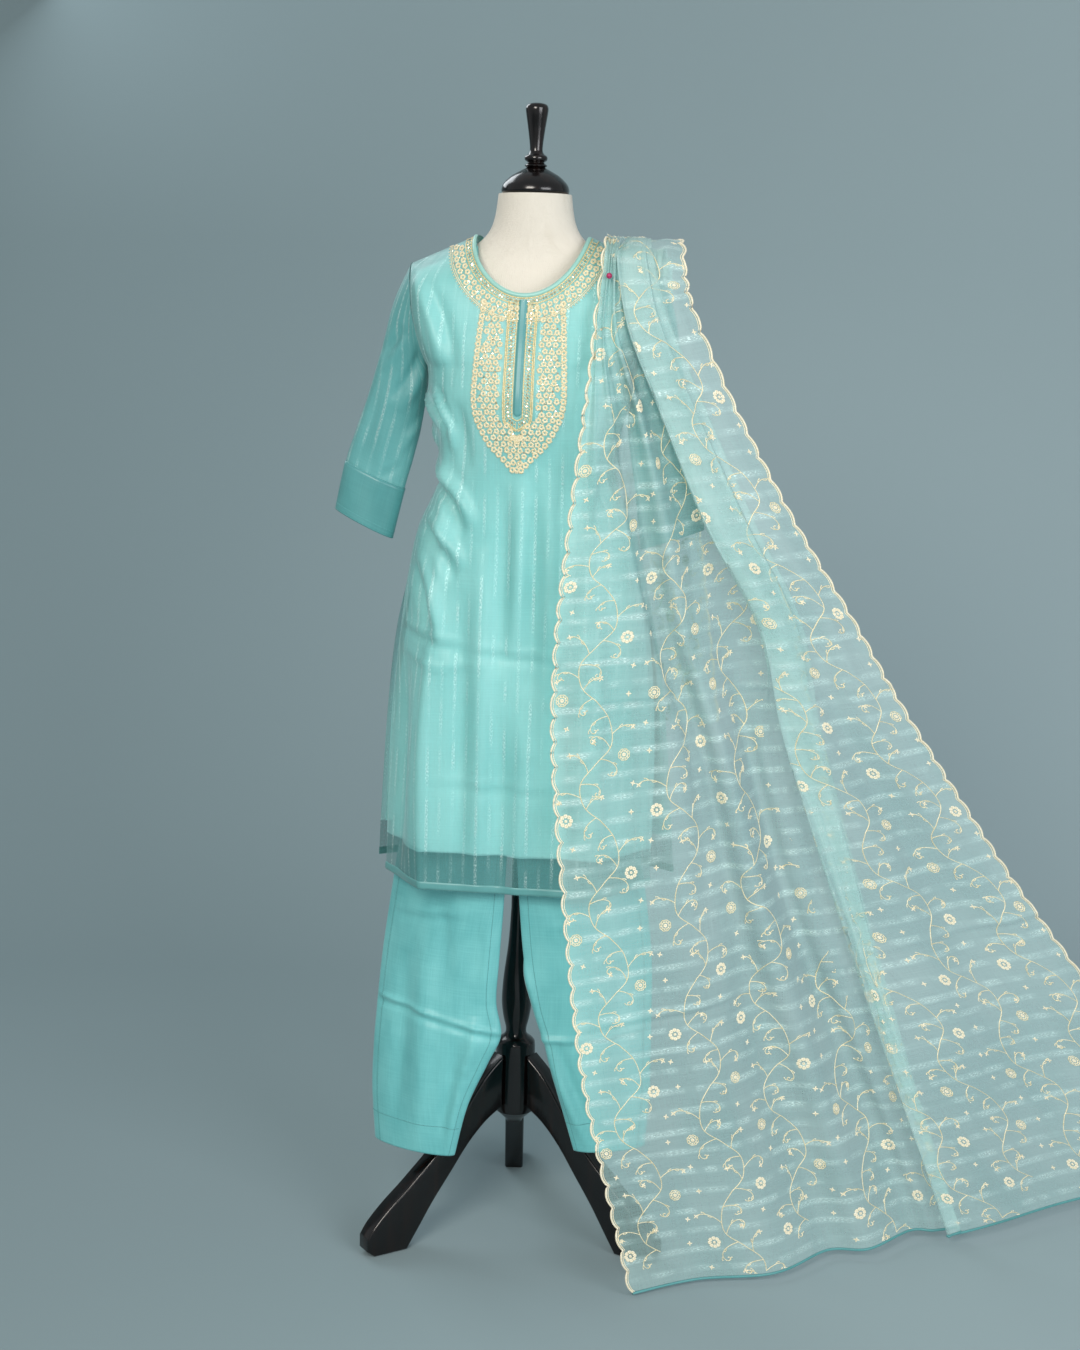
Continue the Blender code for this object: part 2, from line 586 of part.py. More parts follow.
def sleeve_grid(side, first=0):
    """Rings of points of one sleeve on the +X side, from its armhole to its cuff."""
    middle, half = (ARMHOLE_TOP + ARMHOLE_BOTTOM) / 2, (ARMHOLE_TOP - ARMHOLE_BOTTOM) / 2
    angles = [2 * math.pi * k / SLEEVE_SIDES for k in range(SLEEVE_SIDES)]
    rings = []
    if first == 0:
        ring = []
        for a in angles:
            z = middle + half * math.cos(a)
            body = smooth_value(LEVELS, "half_width", z)
            ring.append(Vector((body + SLEEVE_SEAM, ARMHOLE_HALF_DEPTH * math.sin(a), z)))
        rings.append(ring)
    for i, row in enumerate(SLEEVE_RINGS):
        swing = SLEEVE_SWING[side] * min(i / 2, 1)
        ring = []
        for a in angles:
            share = (1 + math.cos(a)) / 2
            x = row.inner_x + (row.outer_x - row.inner_x) * share - SLEEVE_PIVOT[0]
            z = row.inner_z + (row.outer_z - row.inner_z) * share - SLEEVE_PIVOT[1]
            turned_x = SLEEVE_PIVOT[0] + x * math.cos(swing) + z * math.sin(swing)
            turned_z = SLEEVE_PIVOT[1] + z * math.cos(swing) - x * math.sin(swing)
            clear = smooth_value(LEVELS, "half_width", turned_z) + SLEEVE_SEAM
            ring.append(Vector((max(turned_x, clear), row.half_depth * math.sin(a), turned_z)))
        if i >= first - 1:
            rings.append(ring)
    return rings


def off_the_body(sign):
    """Return the rule that keeps a sleeve's inner face outside the armhole's edge, on one side."""

    def keep(p):
        edge = smooth_value(LEVELS, "half_width", p.z) + SLEEVE_SEAM
        return Vector((sign * max(sign * p.x, edge), p.y, p.z))

    return keep


def mirrored(grid):
    """The same rows on the other side of the body."""
    return [[Vector((-p.x, p.y, p.z)) for p in row] for row in grid]


def moved_out(grid, by):
    """Rings moved away from their own middles."""
    flat = [p for row in grid for p in row]
    columns = len(grid[0])
    normals = normals_of(flat, cells_of(len(grid), columns, True, set()))
    middle = sum(grid[0], Vector()) / columns
    sign = 1 if sum(n.dot(p - middle) for n, p in zip(normals, grid[0])) > 0 else -1
    return [
        [p + normals[r * columns + c] * sign * by for c, p in enumerate(row)] for r, row in enumerate(grid)
    ]


def add_sleeves(dress):
    """Add both three-quarter sleeves, open at armhole and cuff, and their doubled cuffs."""
    for side in ("left", "right"):
        grid = sleeve_grid(side)
        cuff = moved_out(sleeve_grid(side, CUFF_TOP_RING + 1), 2 * GAP + BAND_CLOTH)
        sign = 1
        if side == "left":
            grid, cuff, sign = mirrored(grid), mirrored(cuff), -1
        cloth(f"sleeve_{side}", grid, "aqua_organza", dress, ring=True, keep=off_the_body(sign))
        cloth(f"sleeve_cuff_{side}", cuff, "aqua_binding", dress, ring=True, wall=BAND_CLOTH)


# The trousers


def trouser_depth(x, depth, bow=SEAT_BOW):
    """Where the trousers' middle surface is, this far from the middle: it curves back round the form."""
    return -depth + bow * x * x


def on_its_leg(sign):
    """Return the rule that keeps a trouser leg's inner face on its own side of the middle."""
    return lambda p: Vector((sign * max(sign * p.x, GAP), p.y, p.z))


def add_trousers(dress):
    """Add both trouser legs, open above the crotch, and the waistband they hang from."""
    for side in ("left", "right"):
        grid = []
        for row in TROUSER_RINGS[side]:
            middle, half = (row.outer + row.inner) / 2, (row.outer - row.inner) / 2
            ring = []
            for k in range(TROUSER_SIDES):
                angle = 2 * math.pi * k / TROUSER_SIDES
                x = middle - half * math.cos(angle)
                y = trouser_depth(x, row.depth, row.bow) - row.half_depth * math.sin(angle)
                ring.append(Vector((x, y, row.z)))
            grid.append(ring)
        closed = len(grid)
        for row in SEAT_ROWS:
            ring = [Vector((0, -row.depth, row.z))]
            for k in range(1, TROUSER_SIDES):
                angle = math.pi * (k - 1) / (TROUSER_SIDES - 2)
                x = max(row.half_width * math.sin(angle), 2 * GAP)
                y = trouser_depth(x, row.depth) - row.half_depth * math.cos(angle)
                ring.append(Vector((x, y, row.z)))
            grid.append(ring)
        skipped = [(r, c) for r in range(closed - 1, len(grid) - 1) for c in (0, TROUSER_SIDES - 1)]
        sign = 1 if side == "right" else -1
        grid = [[Vector((sign * p.x, p.y, p.z)) for p in row] for row in grid]
        keep = on_its_leg(sign)
        cloth(f"trouser_{side}", grid, "aqua_trouser", dress, ring=True, skipped=skipped, keep=keep)
    add_waistband(dress)


def add_waistband(dress):
    """Add the waistband, a flat band that stands on the trousers' top edge."""
    row = SEAT_ROWS[-1]
    sides = 20
    rings = []
    for z in (row.z + 2 * GAP, row.z + WAISTBAND_HEIGHT):
        ring = []
        for k in range(sides):
            angle = 2 * math.pi * k / sides
            x = row.half_width * math.cos(angle)
            ring.append(Vector((x, trouser_depth(x, row.depth) + row.half_depth * math.sin(angle), z)))
        rings.append(ring)
    cloth("trouser_waistband", rings, "aqua_trouser", dress, ring=True)


# The dupatta


def fall_grid():
    """Rows of points of the dupatta's front fall, from the shoulder to its end hem."""
    stations = []
    for fall, relief in zip(FALLS, RELIEFS):
        left, right = Vector(fall.left), Vector(fall.right)
        line = [left]
        for name in Relief._fields:
            line.append(left.lerp(right, getattr(fall, name)) + Vector((0, getattr(relief, name), 0)))
        stations.append(line + [right])
    lines = [through([s[k] for s in stations], FALL_ROWS_PER_STATION) for k in range(len(stations[0]))]
    return [through([line[r] for line in lines], FALL_COLUMNS_PER_LINE) for r in range(len(lines[0]))]


def stack_grids(dress_turn):
    """Outer and inner grids of the folded stack: points on the shoulder, and the same moved up."""
    shares = (-1.0, -0.66, -0.33, 0.0, 0.25, 0.5, 0.75, 1.0)
    base = []
    for share in shares:
        front = share <= 0
        drop = abs(share) * (STACK_FRONT_DROP if front else STACK_BACK_DROP)
        row = []
        for stack in STACKS:
            z = shoulder_height(min(stack.x, STACK_HELD_TO)) - drop
            half = smooth_value(LEVELS, "half_width", z)
            held = kameez_point(front, min(stack.x, STACK_HELD_TO) / half, z)
            row.append(Vector((stack.x, held.y, held.z)))
        base.append(row)
    flat = [p for row in base for p in row]
    columns = len(STACKS)
    normals = normals_of(flat, cells_of(len(base), columns, False, set()))
    sign = 1 if sum(n.z for n in normals) > 0 else -1
    turn = dress_turn.to_matrix()
    under, over = [], []
    for r, row in enumerate(base):
        outwards = [n * sign for n in normals[r * columns : (r + 1) * columns]]
        under.append([turn @ (p + n * STACK_LIFT) for p, n in zip(row, outwards)])
        over.append([turn @ (p + n * (STACK_LIFT + s.thickness)) for p, n, s in zip(row, outwards, STACKS)])
    return over, under


def back_grid():
    """Rows of points of the back fall, pleated from side to side."""
    columns = BACK_PLEATS * 2 + 1
    stations = []
    for row in BACK_FALLS:
        line = []
        for k in range(columns):
            x = row.near_x + (row.far_x - row.near_x) * k / (columns - 1)
            line.append(Vector((x, row.depth - 0.10 * (x - row.near_x) + row.pleat * (-1) ** k, row.z)))
        stations.append(line)
    steps = (BACK_ROWS - 1) // (len(BACK_FALLS) - 1)
    lines = [through([s[k] for s in stations], steps) for k in range(columns)]
    return [[line[r] for line in lines] for r in range(len(lines[0]))]


def add_tube(name, path, radius, material, parent, sides=6):
    """Add a tube along a path of points, with its ends closed."""
    points = []
    for i, p in enumerate(path):
        way = (path[min(i + 1, len(path) - 1)] - path[max(i - 1, 0)]).normalized()
        over = Vector((0, 0, 1)).cross(way).normalized()
        up = way.cross(over)
        for k in range(sides):
            angle = 2 * math.pi * k / sides
            points.append(p + (over * math.cos(angle) + up * math.sin(angle)) * radius)
    faces = cells_of(len(path), sides, True, set())
    faces = [f[::-1] for f in faces]
    faces.append(tuple(range(sides)))
    faces.append(tuple(reversed(range(len(points) - sides, len(points)))))
    mesh = add_object(name, points, faces, material, parent).data
    check = bmesh.new()
    check.from_mesh(mesh)
    bmesh.ops.recalc_face_normals(check, faces=check.faces)
    check.to_mesh(mesh)
    check.free()


def add_dupatta(root):
    """Add the dupatta's front fall, shoulder stack and back fall, its end piping and its pin."""
    grid = fall_grid()
    cloth("dupatta_front", grid, "dupatta_organza", root, Vector((0, -1, 0)))
    from_dress = bpy.data.objects["dress"].rotation_euler
    over, under = stack_grids(from_dress)
    cloth("dupatta_shoulder", over, "dupatta_organza", root, Vector((0, 0, 1)), under=under)
    cloth("dupatta_back", back_grid(), "dupatta_organza", root, Vector((0, 1, 0)))
    hem = [p + Vector((0, 0, -PIPING_RADIUS - 2 * GAP)) for p in grid[-1]]
    add_tube("dupatta_piping", hem, PIPING_RADIUS, "aqua_binding", root)
    bpy.ops.mesh.primitive_uv_sphere_add(segments=12, ring_count=8, radius=PIN_HEAD_RADIUS)
    pin = bpy.context.object
    pin.name = pin.data.name = "shoulder_pin"
    pin.data.materials.append(finish("pin_bead"))
    pin.data.shade_smooth()
    pin.location = grid[1][3] + Vector((0.004, -PIN_HEAD_RADIUS - 0.004, 0))
    pin.parent = root


def put_base_at_origin(root):
    """Move the root so that the middle of the base of everything is at the origin."""
    bpy.context.view_layer.update()
    corners = [
        item.matrix_world @ vertex.co
        for item in bpy.data.objects
        if item.type == "MESH"
        for vertex in item.data.vertices
    ]
    low = [min(c[i] for c in corners) for i in range(3)]
    high = [max(c[i] for c in corners) for i in range(3)]
    root.location = (-(low[0] + high[0]) / 2, -(low[1] + high[1]) / 2, -low[2])


def main():
    """Build the suit on its form."""
    remove_everything()
    root = bpy.data.objects.new("suit_root", None)
    dress = bpy.data.objects.new("dress", None)
    for empty in (root, dress):
        bpy.context.scene.collection.objects.link(empty)
    dress.parent = root
    dress.rotation_euler.z = TURN
    add_stand(root, dress)
    add_body_panels(dress)
    add_neck_binding(dress)
    add_placket(dress)
    add_sleeves(dress)
    add_trousers(dress)
    add_dupatta(root)
    put_base_at_origin(root)


main()
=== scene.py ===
"""Looks of a salwar kameez suit on its turned dress form stand, with the dupatta pinned on one shoulder.

Units are metres and +Z is up. The post stands on the axis that the frame gives. The form and the clothes
on it share a dress frame, which is that axis turned a little, and the dupatta hangs in the frame of the
post itself. Every cloth is a grid of points that also knows its place on the flat cut, so its weave, its
creases and its embroidery are all drawn in the cloth's own sizes.
"""

import logging
import math
from dataclasses import dataclass, field, replace
from enum import Enum
from typing import Callable, NamedTuple, Sequence

import bmesh
import bpy
import numpy as np
from mathutils import Matrix, Vector


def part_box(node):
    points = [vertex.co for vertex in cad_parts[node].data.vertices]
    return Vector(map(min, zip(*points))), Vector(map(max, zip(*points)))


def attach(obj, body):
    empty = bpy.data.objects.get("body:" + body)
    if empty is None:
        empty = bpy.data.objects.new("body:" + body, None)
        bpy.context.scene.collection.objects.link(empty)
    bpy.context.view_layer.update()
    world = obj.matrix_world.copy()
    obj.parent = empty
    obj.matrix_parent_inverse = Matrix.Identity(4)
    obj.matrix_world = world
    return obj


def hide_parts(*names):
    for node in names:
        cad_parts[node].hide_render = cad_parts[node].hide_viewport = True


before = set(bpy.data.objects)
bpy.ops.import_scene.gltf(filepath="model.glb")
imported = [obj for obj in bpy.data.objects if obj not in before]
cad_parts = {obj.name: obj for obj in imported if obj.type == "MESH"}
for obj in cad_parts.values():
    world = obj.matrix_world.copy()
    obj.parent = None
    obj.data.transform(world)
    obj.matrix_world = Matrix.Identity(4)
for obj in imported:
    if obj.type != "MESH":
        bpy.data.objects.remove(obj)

Array = np.ndarray
Item = bpy.types.Object
Node = bpy.types.Node
Socket = bpy.types.NodeSocket
Surface = Callable[[Array], tuple[Array, Array, Array]]

LOG = logging.getLogger("suit")
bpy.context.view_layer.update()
POST_LOW, POST_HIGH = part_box("stand_post")
AXIS_X, AXIS_Y = ((POST_LOW + POST_HIGH) / 2)[:2]
TURN = math.radians(-8.0)  # the dress frame's turn about the post
BODY = "root"
UV_NAME = "cloth"
TINY = 1e-9


class Facing(Enum):
    """Which way a panel of the kameez looks."""

    FRONT = -1
    BACK = 1


# Numbers and places


def read_table(rows: Sequence[NamedTuple], column: str, at: Array) -> Array:
    """Read a column of a table between its rows, on a smooth curve.

    Args:
        rows: the table, keyed by its first column.
        column: the name of the column to read.
        at: the keys to read it at.

    Returns:
        One value for each key.
    """
    keys = np.array([row[0] for row in rows], float)
    values = np.array([getattr(row, column) for row in rows], float)
    if keys[0] > keys[-1]:
        keys, values = keys[::-1], values[::-1]
    order = np.arange(len(keys))
    low, high = np.maximum(order - 1, 0), np.minimum(order + 1, len(keys) - 1)
    slopes = (values[high] - values[low]) / (keys[high] - keys[low])
    at = np.clip(at, keys[0], keys[-1])
    i = np.clip(np.searchsorted(keys, at, side="right") - 1, 0, len(keys) - 2)
    span = keys[i + 1] - keys[i]
    t = (at - keys[i]) / span
    return (
        values[i] * (2 * t**3 - 3 * t**2 + 1)
        + slopes[i] * span * (t**3 - 2 * t**2 + t)
        + values[i + 1] * (3 * t**2 - 2 * t**3)
        + slopes[i + 1] * span * (t**3 - t**2)
    )


def through(points: Array, steps: int) -> Array:
    """Return points on a smooth curve through the given ones.

    Args:
        points: the points, along the first axis. They can be whole rows.
        steps: how many steps the curve takes between each two.

    Returns:
        The curve's points, along the first axis.
    """
    points = np.asarray(points, float)
    last = len(points) - 1
    share = np.arange(last * steps + 1) / steps
    i = np.minimum(share.astype(int), last - 1)
    t = (share - i).reshape(-1, *[1] * (points.ndim - 1))
    before, here = points[np.maximum(i - 1, 0)], points[i]
    there, after = points[i + 1], points[np.minimum(i + 2, last)]
    return (
        here
        + (there - before) * (t / 2)
        + (before * 2 - here * 5 + there * 4 - after) * (t * t / 2)
        + (here * 3 - before - there * 3 + after) * (t**3 / 2)
    )


def lengths(points: Array, axis: int = 0) -> Array:
    """Return how far along its line each point lies.

    Args:
        points: the points, with their coordinates along the last axis.
        axis: the axis that the line runs along.

    Returns:
        The running length, 0 at the first point.
    """
    steps = np.linalg.norm(np.diff(points, axis=axis), axis=-1)
    return np.concatenate([np.zeros_like(np.take(steps, [0], axis)), np.cumsum(steps, axis)], axis)


def unit(vectors: Array) -> Array:
    """Return the vectors at length 1."""
    return vectors / (np.linalg.norm(vectors, axis=-1, keepdims=True) + TINY)


def to_row(points: Array, turn: float = TURN) -> Array:
    """Move points to the row frame.

    Args:
        points: points about the post's axis.
        turn: their frame's turn about it. 0 is the post's own.

    Returns:
        The same points in the row frame.
    """
    c, s = math.cos(turn), math.sin(turn)
    x, y = points[..., 0], points[..., 1]
    return np.stack([x * c - y * s + AXIS_X, x * s + y * c + AXIS_Y, points[..., 2]], -1)


def around(angles: Array) -> Array:
    """Return the place on a circle of radius 1 at each angle."""
    return np.stack([np.cos(angles), np.sin(angles)], -1)


def blended(rows: Array, places: Array) -> Array:
    """Return what lies at places between whole rows, from the two rows beside each."""
    i = np.minimum(places.astype(int), len(rows) - 2)
    t = (places - i).reshape(-1, *[1] * (rows.ndim - 1))
    return rows[i] * (1 - t) + rows[i + 1] * t


# Finishes


def linear(colour: str) -> tuple[float, float, float, float]:
    """Turn an sRGB hex colour into linear RGBA."""
    parts = [int(colour[i : i + 2], 16) / 255 for i in (1, 3, 5)]
    return (*[p / 12.92 if p <= 0.04045 else ((p + 0.055) / 1.055) ** 2.4 for p in parts], 1.0)


class Nodes:
    """One material's nodes, and the shader that they feed."""

    def __init__(self, material: bpy.types.Material) -> None:
        """Take a material's nodes."""
        self.tree = material.node_tree
        self.shader = self.tree.nodes["Principled BSDF"]

    def add(self, kind: str, inputs: dict, **settings: object) -> Node:
        """Add a node.

        Args:
            kind: its type, without its ShaderNode prefix.
            inputs: a value or another node's output for each input, by name or number.
            settings: the node's own properties.

        Returns:
            The new node.
        """
        node = self.tree.nodes.new("ShaderNode" + kind)
        for name, value in settings.items():
            setattr(node, name, value)
        for key, value in inputs.items():
            if isinstance(value, Socket):
                self.tree.links.new(value, node.inputs[key])
            else:
                node.inputs[key].default_value = value
        return node

    def feed(self, name: str, value: Socket) -> None:
        """Link a value to an input of the shader."""
        self.tree.links.new(value, self.shader.inputs[name])

    def math(self, operation: str, *values: object) -> Socket:
        """Return the result of one step of arithmetic."""
        return self.add("Math", dict(enumerate(values)), operation=operation).outputs[0]

    def times(self, one: object, other: object) -> Socket:
        """Return one value times another."""
        return self.math("MULTIPLY", one, other)

    def plus(self, value: object, share: object, start: object) -> Socket:
        """Return a start plus a share of a value."""
        return self.math("MULTIPLY_ADD", value, share, start)

    def step(self, value: object, low: float, high: float) -> Socket:
        """Return 0 where a value is at low and 1 where it is at high, with a soft step between."""
        inputs = {"Value": value, "From Min": low, "From Max": high}
        return self.add("MapRange", inputs, interpolation_type="SMOOTHSTEP").outputs[0]

    def mix(self, share: object, one: object, other: object) -> Socket:
        """Return a mix of two colours."""
        return self.add("Mix", {"Factor": share, 6: one, 7: other}, data_type="RGBA").outputs[2]

    def place(self) -> Socket:
        """Return where a point lies in the room."""
        return self.add("NewGeometry", {}).outputs["Position"]

    def flat_place(self) -> tuple[Socket, Socket, Socket]:
        """Return where a point lies on the flat cut, in metres: the whole vector, across, and along."""
        place = self.add("UVMap", {}, uv_map=UV_NAME).outputs[0]
        parts = self.add("SeparateXYZ", {0: place})
        return place, parts.outputs[0], parts.outputs[1]

    def noise(self, place: Socket, scale: float, detail: float) -> Socket:
        """Return soft noise."""
        return self.add("TexNoise", {"Vector": place, "Scale": scale, "Detail": detail}).outputs[0]

    def stretched(self, place: Socket, scale: tuple[float, float, float], detail: float) -> Socket:
        """Return noise with its own scale along each axis."""
        return self.noise(self.add("Mapping", {"Vector": place, "Scale": scale}).outputs[0], 1.0, detail)

    def slubs(self, place: Socket, across: float, along: float, detail: float = 3.0) -> Socket:
        """Return noise drawn out into streaks, with their typical width and length in metres."""
        return self.stretched(place, (1 / across, 1 / along, 1.0), detail)

    def bump(self, height: Socket, depth: float) -> None:
        """Raise the surface by a height from 0 to 1, times a depth in metres."""
        bump = self.add("Bump", {"Height": height, "Distance": depth, "Strength": 1.0})
        self.feed("Normal", bump.outputs[0])


@dataclass(frozen=True)
class Finish:
    """One real finish: its look where nothing varies, and a method that adds what does.

    Args:
        name: the finish's name, and its material's.
        colour: its main colour.
        shade: the colour it drifts to.
        roughness: how matt it is.
        metallic: 1 for bare metal.
        ior: its index of refraction.
        sheen: how much light its fuzz catches at a glancing angle.
        coat: how much clear lacquer lies on it.
    """

    name: str
    colour: str
    shade: str
    roughness: float = 0.5
    metallic: float = 0.0
    ior: float = 1.5
    sheen: float = 0.0
    coat: float = 0.0

    def material(self) -> bpy.types.Material:
        """Return the finish's material, made once."""
        known = bpy.data.materials.get(self.name)
        if known:
            return known
        made = bpy.data.materials.new(self.name)
        made.use_nodes = True
        nodes = Nodes(made)
        constants = {
            "Base Color": linear(self.colour), "Roughness": self.roughness, "Metallic": self.metallic,
            "IOR": self.ior, "Sheen Weight": self.sheen, "Sheen Roughness": 0.4, "Coat Weight": self.coat,
            "Coat Roughness": 0.06,
        }
        for name, value in constants.items():
            nodes.shader.inputs[name].default_value = value
        self.dress(nodes)
        return made

    def dress(self, nodes: Nodes) -> None:
        """Add the nodes of what varies over the surface."""
        raise NotImplementedError

    def shaded(self, nodes: Nodes, share: Socket) -> Socket:
        """Return the finish's colour, mixed with its shade by a share."""
        return nodes.mix(share, linear(self.colour), linear(self.shade))


class Run(Enum):
    """Which way a stripe's lurex yarn runs on the flat cut."""

    ALONG = 0
    ACROSS = 1


@dataclass(frozen=True)
class StripedOrganza(Finish):
    """Tissue organza with dobby stripes of dotted lurex yarn.

    The ground is sheer, silky and faintly streaked by its slub yarn. Its stripes are more opaque, and they
    glint in short dashes where the flat lurex floats on the face.

    Args:
        run: which way the stripes run.
        pitch: from one stripe to the next.
        width: how wide a strong stripe is.
        dash: the length of one float of lurex.
        weak: how strong every other stripe is.
        cover: how much of the ground hides what is behind it, from 0 to 1.
        band: how wide the close-woven band round a stripe is.
        band_cover: how much it adds to that.
        tint: how much lighter it is.
        glint: the lurex's colour.
        strength: how much of the lurex shows in a strong stripe.
        rumple: how much the cloth is rumpled, against its slubs.
        lined_from: where its lining starts along it. Below that the ground alone shows, in a painted shade.
        painted_hem_shade: that painted shade, a darker colour for the shadow seen through the band below the
            lining.
        lurex: how wide one lurex yarn is drawn.
    """

    run: Run = Run.ALONG
    pitch: float = 0.0187
    width: float = 0.0032
    dash: float = 0.0050
    weak: float = 0.35
    cover: float = 0.9
    band: float = 0.0060
    band_cover: float = 0.06
    tint: float = 0.06
    glint: str = "#e4fbf7"
    strength: float = 0.42
    rumple: float = 1.5
    lined_from: float = -1.0
    painted_hem_shade: str = "#568f8e"
    lurex: float = 0.0011

    def dress(self, nodes: Nodes) -> None:
        """Add the slubs, the stripes with their dashes, the sheer ground and the crimp of the weave."""
        n = nodes
        place, across, along = n.flat_place()
        lengthways = self.run is Run.ALONG
        over, size = (across, (self.lurex, self.dash)) if lengthways else (along, (self.dash, self.lurex))
        slub, weft = n.slubs(place, 0.0016, 0.045), n.slubs(place, 0.045, 0.0016)
        drift, worn = n.slubs(place, 0.09, 0.16, 1.0), n.slubs(place, 0.035, 0.05, 1.0)
        count = n.math("DIVIDE", over, self.pitch)
        part = n.math("ABSOLUTE", n.math("SUBTRACT", n.math("FRACT", count), 0.5))
        power = n.plus(n.math("PINGPONG", n.math("FLOOR", count), 1.0), 1 - self.weak, self.weak)
        band = n.times(self.stripe(n, part, self.band), power)
        band = n.times(band, n.plus(n.step(worn, 0.38, 0.62), 0.8, 0.2))
        # the lurex's real floats are under 1 mm wide, so they are drawn wider to show at arm's length
        shining = n.step(n.slubs(place, *size, 1.0), 0.48, 0.60)
        shining = n.times(shining, n.times(self.stripe(n, part, self.width), power))
        dots = n.times(shining, n.step(worn, 0.36, 0.60))
        ground = self.shaded(n, n.step(n.plus(slub, 0.5, n.times(drift, 0.9)), 0.35, 1.05))
        # painted shade: below the lining's hem the ground is mixed to a darker colour, standing in for the
        # shadow seen through the sheer band
        if self.lined_from > 0:
            hem_shade_share = n.step(along, self.lined_from + 0.001, self.lined_from - 0.001)
            ground = n.mix(hem_shade_share, ground, linear(self.painted_hem_shade))
        share = n.plus(band, self.tint, n.times(dots, self.strength))
        n.feed("Base Color", n.mix(share, ground, linear(self.glint)))
        n.feed("Metallic", n.times(dots, 0.35))
        n.feed("Roughness", n.plus(slub, 0.16, self.roughness - 0.08))
        hides = n.plus(band, self.band_cover, self.cover)
        for streaks, strength in ((weft, 0.14), (slub, 0.18)):
            hides = n.plus(n.math("SUBTRACT", streaks, 0.5), strength, hides)
        n.feed("Alpha", n.add("Clamp", {0: n.plus(dots, 0.4, hides)}).outputs[0])
        relief = n.plus(slub, 0.8, n.times(weft, 0.2))
        relief = n.plus(n.slubs(place, 0.018, 0.040, 2.0), self.rumple, relief)
        n.bump(n.plus(dots, 0.5, relief), 0.0006)

    def stripe(self, nodes: Nodes, part: Socket, width: float) -> Socket:
        """Return 1 on the middle of each stripe of a width and 0 off it."""
        edge = width / self.pitch / 2
        return nodes.step(part, edge * 1.25, edge * 0.5)


@dataclass(frozen=True)
class WovenSilk(Finish):
    """Plain woven silk blend: a soft sheen, fine slub streaks and faint rumples left by folding.

    Args:
        slub: how much the slub streaks change the colour.
        rumple: the depth of the rumples.
    """

    slub: float = 0.6
    rumple: float = 0.0009

    def dress(self, nodes: Nodes) -> None:
        """Add slubs both ways, slow drifts of colour, and rumples."""
        n = nodes
        place, _, _ = n.flat_place()
        warp, weft = n.slubs(place, 0.0018, 0.06), n.slubs(place, 0.07, 0.0018)
        weave = n.math("ADD", warp, weft)
        tone = n.plus(n.slubs(place, 0.05, 0.08, 2.0), 0.7, n.times(weave, self.slub * 0.5))
        n.feed("Base Color", self.shaded(n, n.step(tone, 0.3, 1.0)))
        n.feed("Roughness", n.plus(warp, 0.14, self.roughness - 0.07))
        n.bump(n.math("ADD", n.slubs(place, 0.022, 0.05, 2.0), n.times(weave, 0.22)), self.rumple)


@dataclass(frozen=True)
class TwistedThread(Finish):
    """Embroidery thread: plied yarn whose twist breaks its shine into fine beads of light.

    Args:
        twist: the length of one turn of the ply. It is drawn coarser than the real 0.4 mm so that it shows.
    """

    twist: float = 0.0011

    def dress(self, nodes: Nodes) -> None:
        """Add the twist's light and dark, as colour, shine and relief."""
        ply = nodes.noise(nodes.place(), 1 / self.twist, 1.0)
        nodes.feed("Base Color", self.shaded(nodes, nodes.step(ply, 0.62, 0.38)))
        nodes.feed("Roughness", nodes.plus(ply, 0.3, self.roughness - 0.15))
        nodes.bump(ply, 0.0004)


@dataclass(frozen=True)
class PressedFoil(Finish):
    """Stamped metal foil of a sequin, or a glass bead: hard, bright and a little uneven.

    Args:
        scale: how many patches of tint there are in a metre.
    """

    scale: float = 180.0

    def dress(self, nodes: Nodes) -> None:
        """Vary the tint from one small piece to the next."""
        cell = nodes.add("TexVoronoi", {"Vector": nodes.place(), "Scale": self.scale}).outputs["Distance"]
        nodes.feed("Base Color", self.shaded(nodes, cell))
        nodes.feed("Roughness", nodes.plus(cell, 0.2, self.roughness))


@dataclass(frozen=True)
class CottonJersey(Finish):
    """Cotton jersey stretched on padding: matt, off-white, finely ribbed, a little soiled by handling.

    Args:
        rib: the pitch of the knit's ribs, drawn twice as wide as the real 1.2 mm so that it shows.
    """

    rib: float = 0.0024

    def dress(self, nodes: Nodes) -> None:
        """Add the knit's ribs, fibre fuzz and faint marks."""
        n = nodes
        place, across, _ = n.flat_place()
        fuzz = n.slubs(place, 0.0012, 0.0012, 2.0)
        n.feed("Base Color", self.shaded(n, n.step(n.slubs(place, 0.05, 0.07, 4.0), 0.5, 0.85)))
        n.feed("Roughness", n.plus(fuzz, 0.1, self.roughness - 0.05))
        threads = n.math("ADD", n.slubs(place, 0.0009, 0.02), n.slubs(place, 0.02, 0.0009))
        rib = n.math("SINE", n.times(across, math.tau / self.rib))
        n.bump(n.plus(rib, 0.15, n.math("ADD", fuzz, threads)), 0.0005)


@dataclass(frozen=True)
class LacqueredWood(Finish):
    """Turned beech under nearly black lacquer: a deep gloss, with brown grain just showing through."""

    def dress(self, nodes: Nodes) -> None:
        """Add drawn-out grain and fine dust."""
        place = nodes.place()
        grain = nodes.stretched(place, (90.0, 90.0, 7.0), 5.0)
        nodes.feed("Base Color", self.shaded(nodes, nodes.step(grain, 0.45, 0.75)))
        nodes.feed("Roughness", nodes.plus(nodes.noise(place, 60.0, 4.0), 0.14, self.roughness - 0.05))
        nodes.bump(grain, 0.0002)


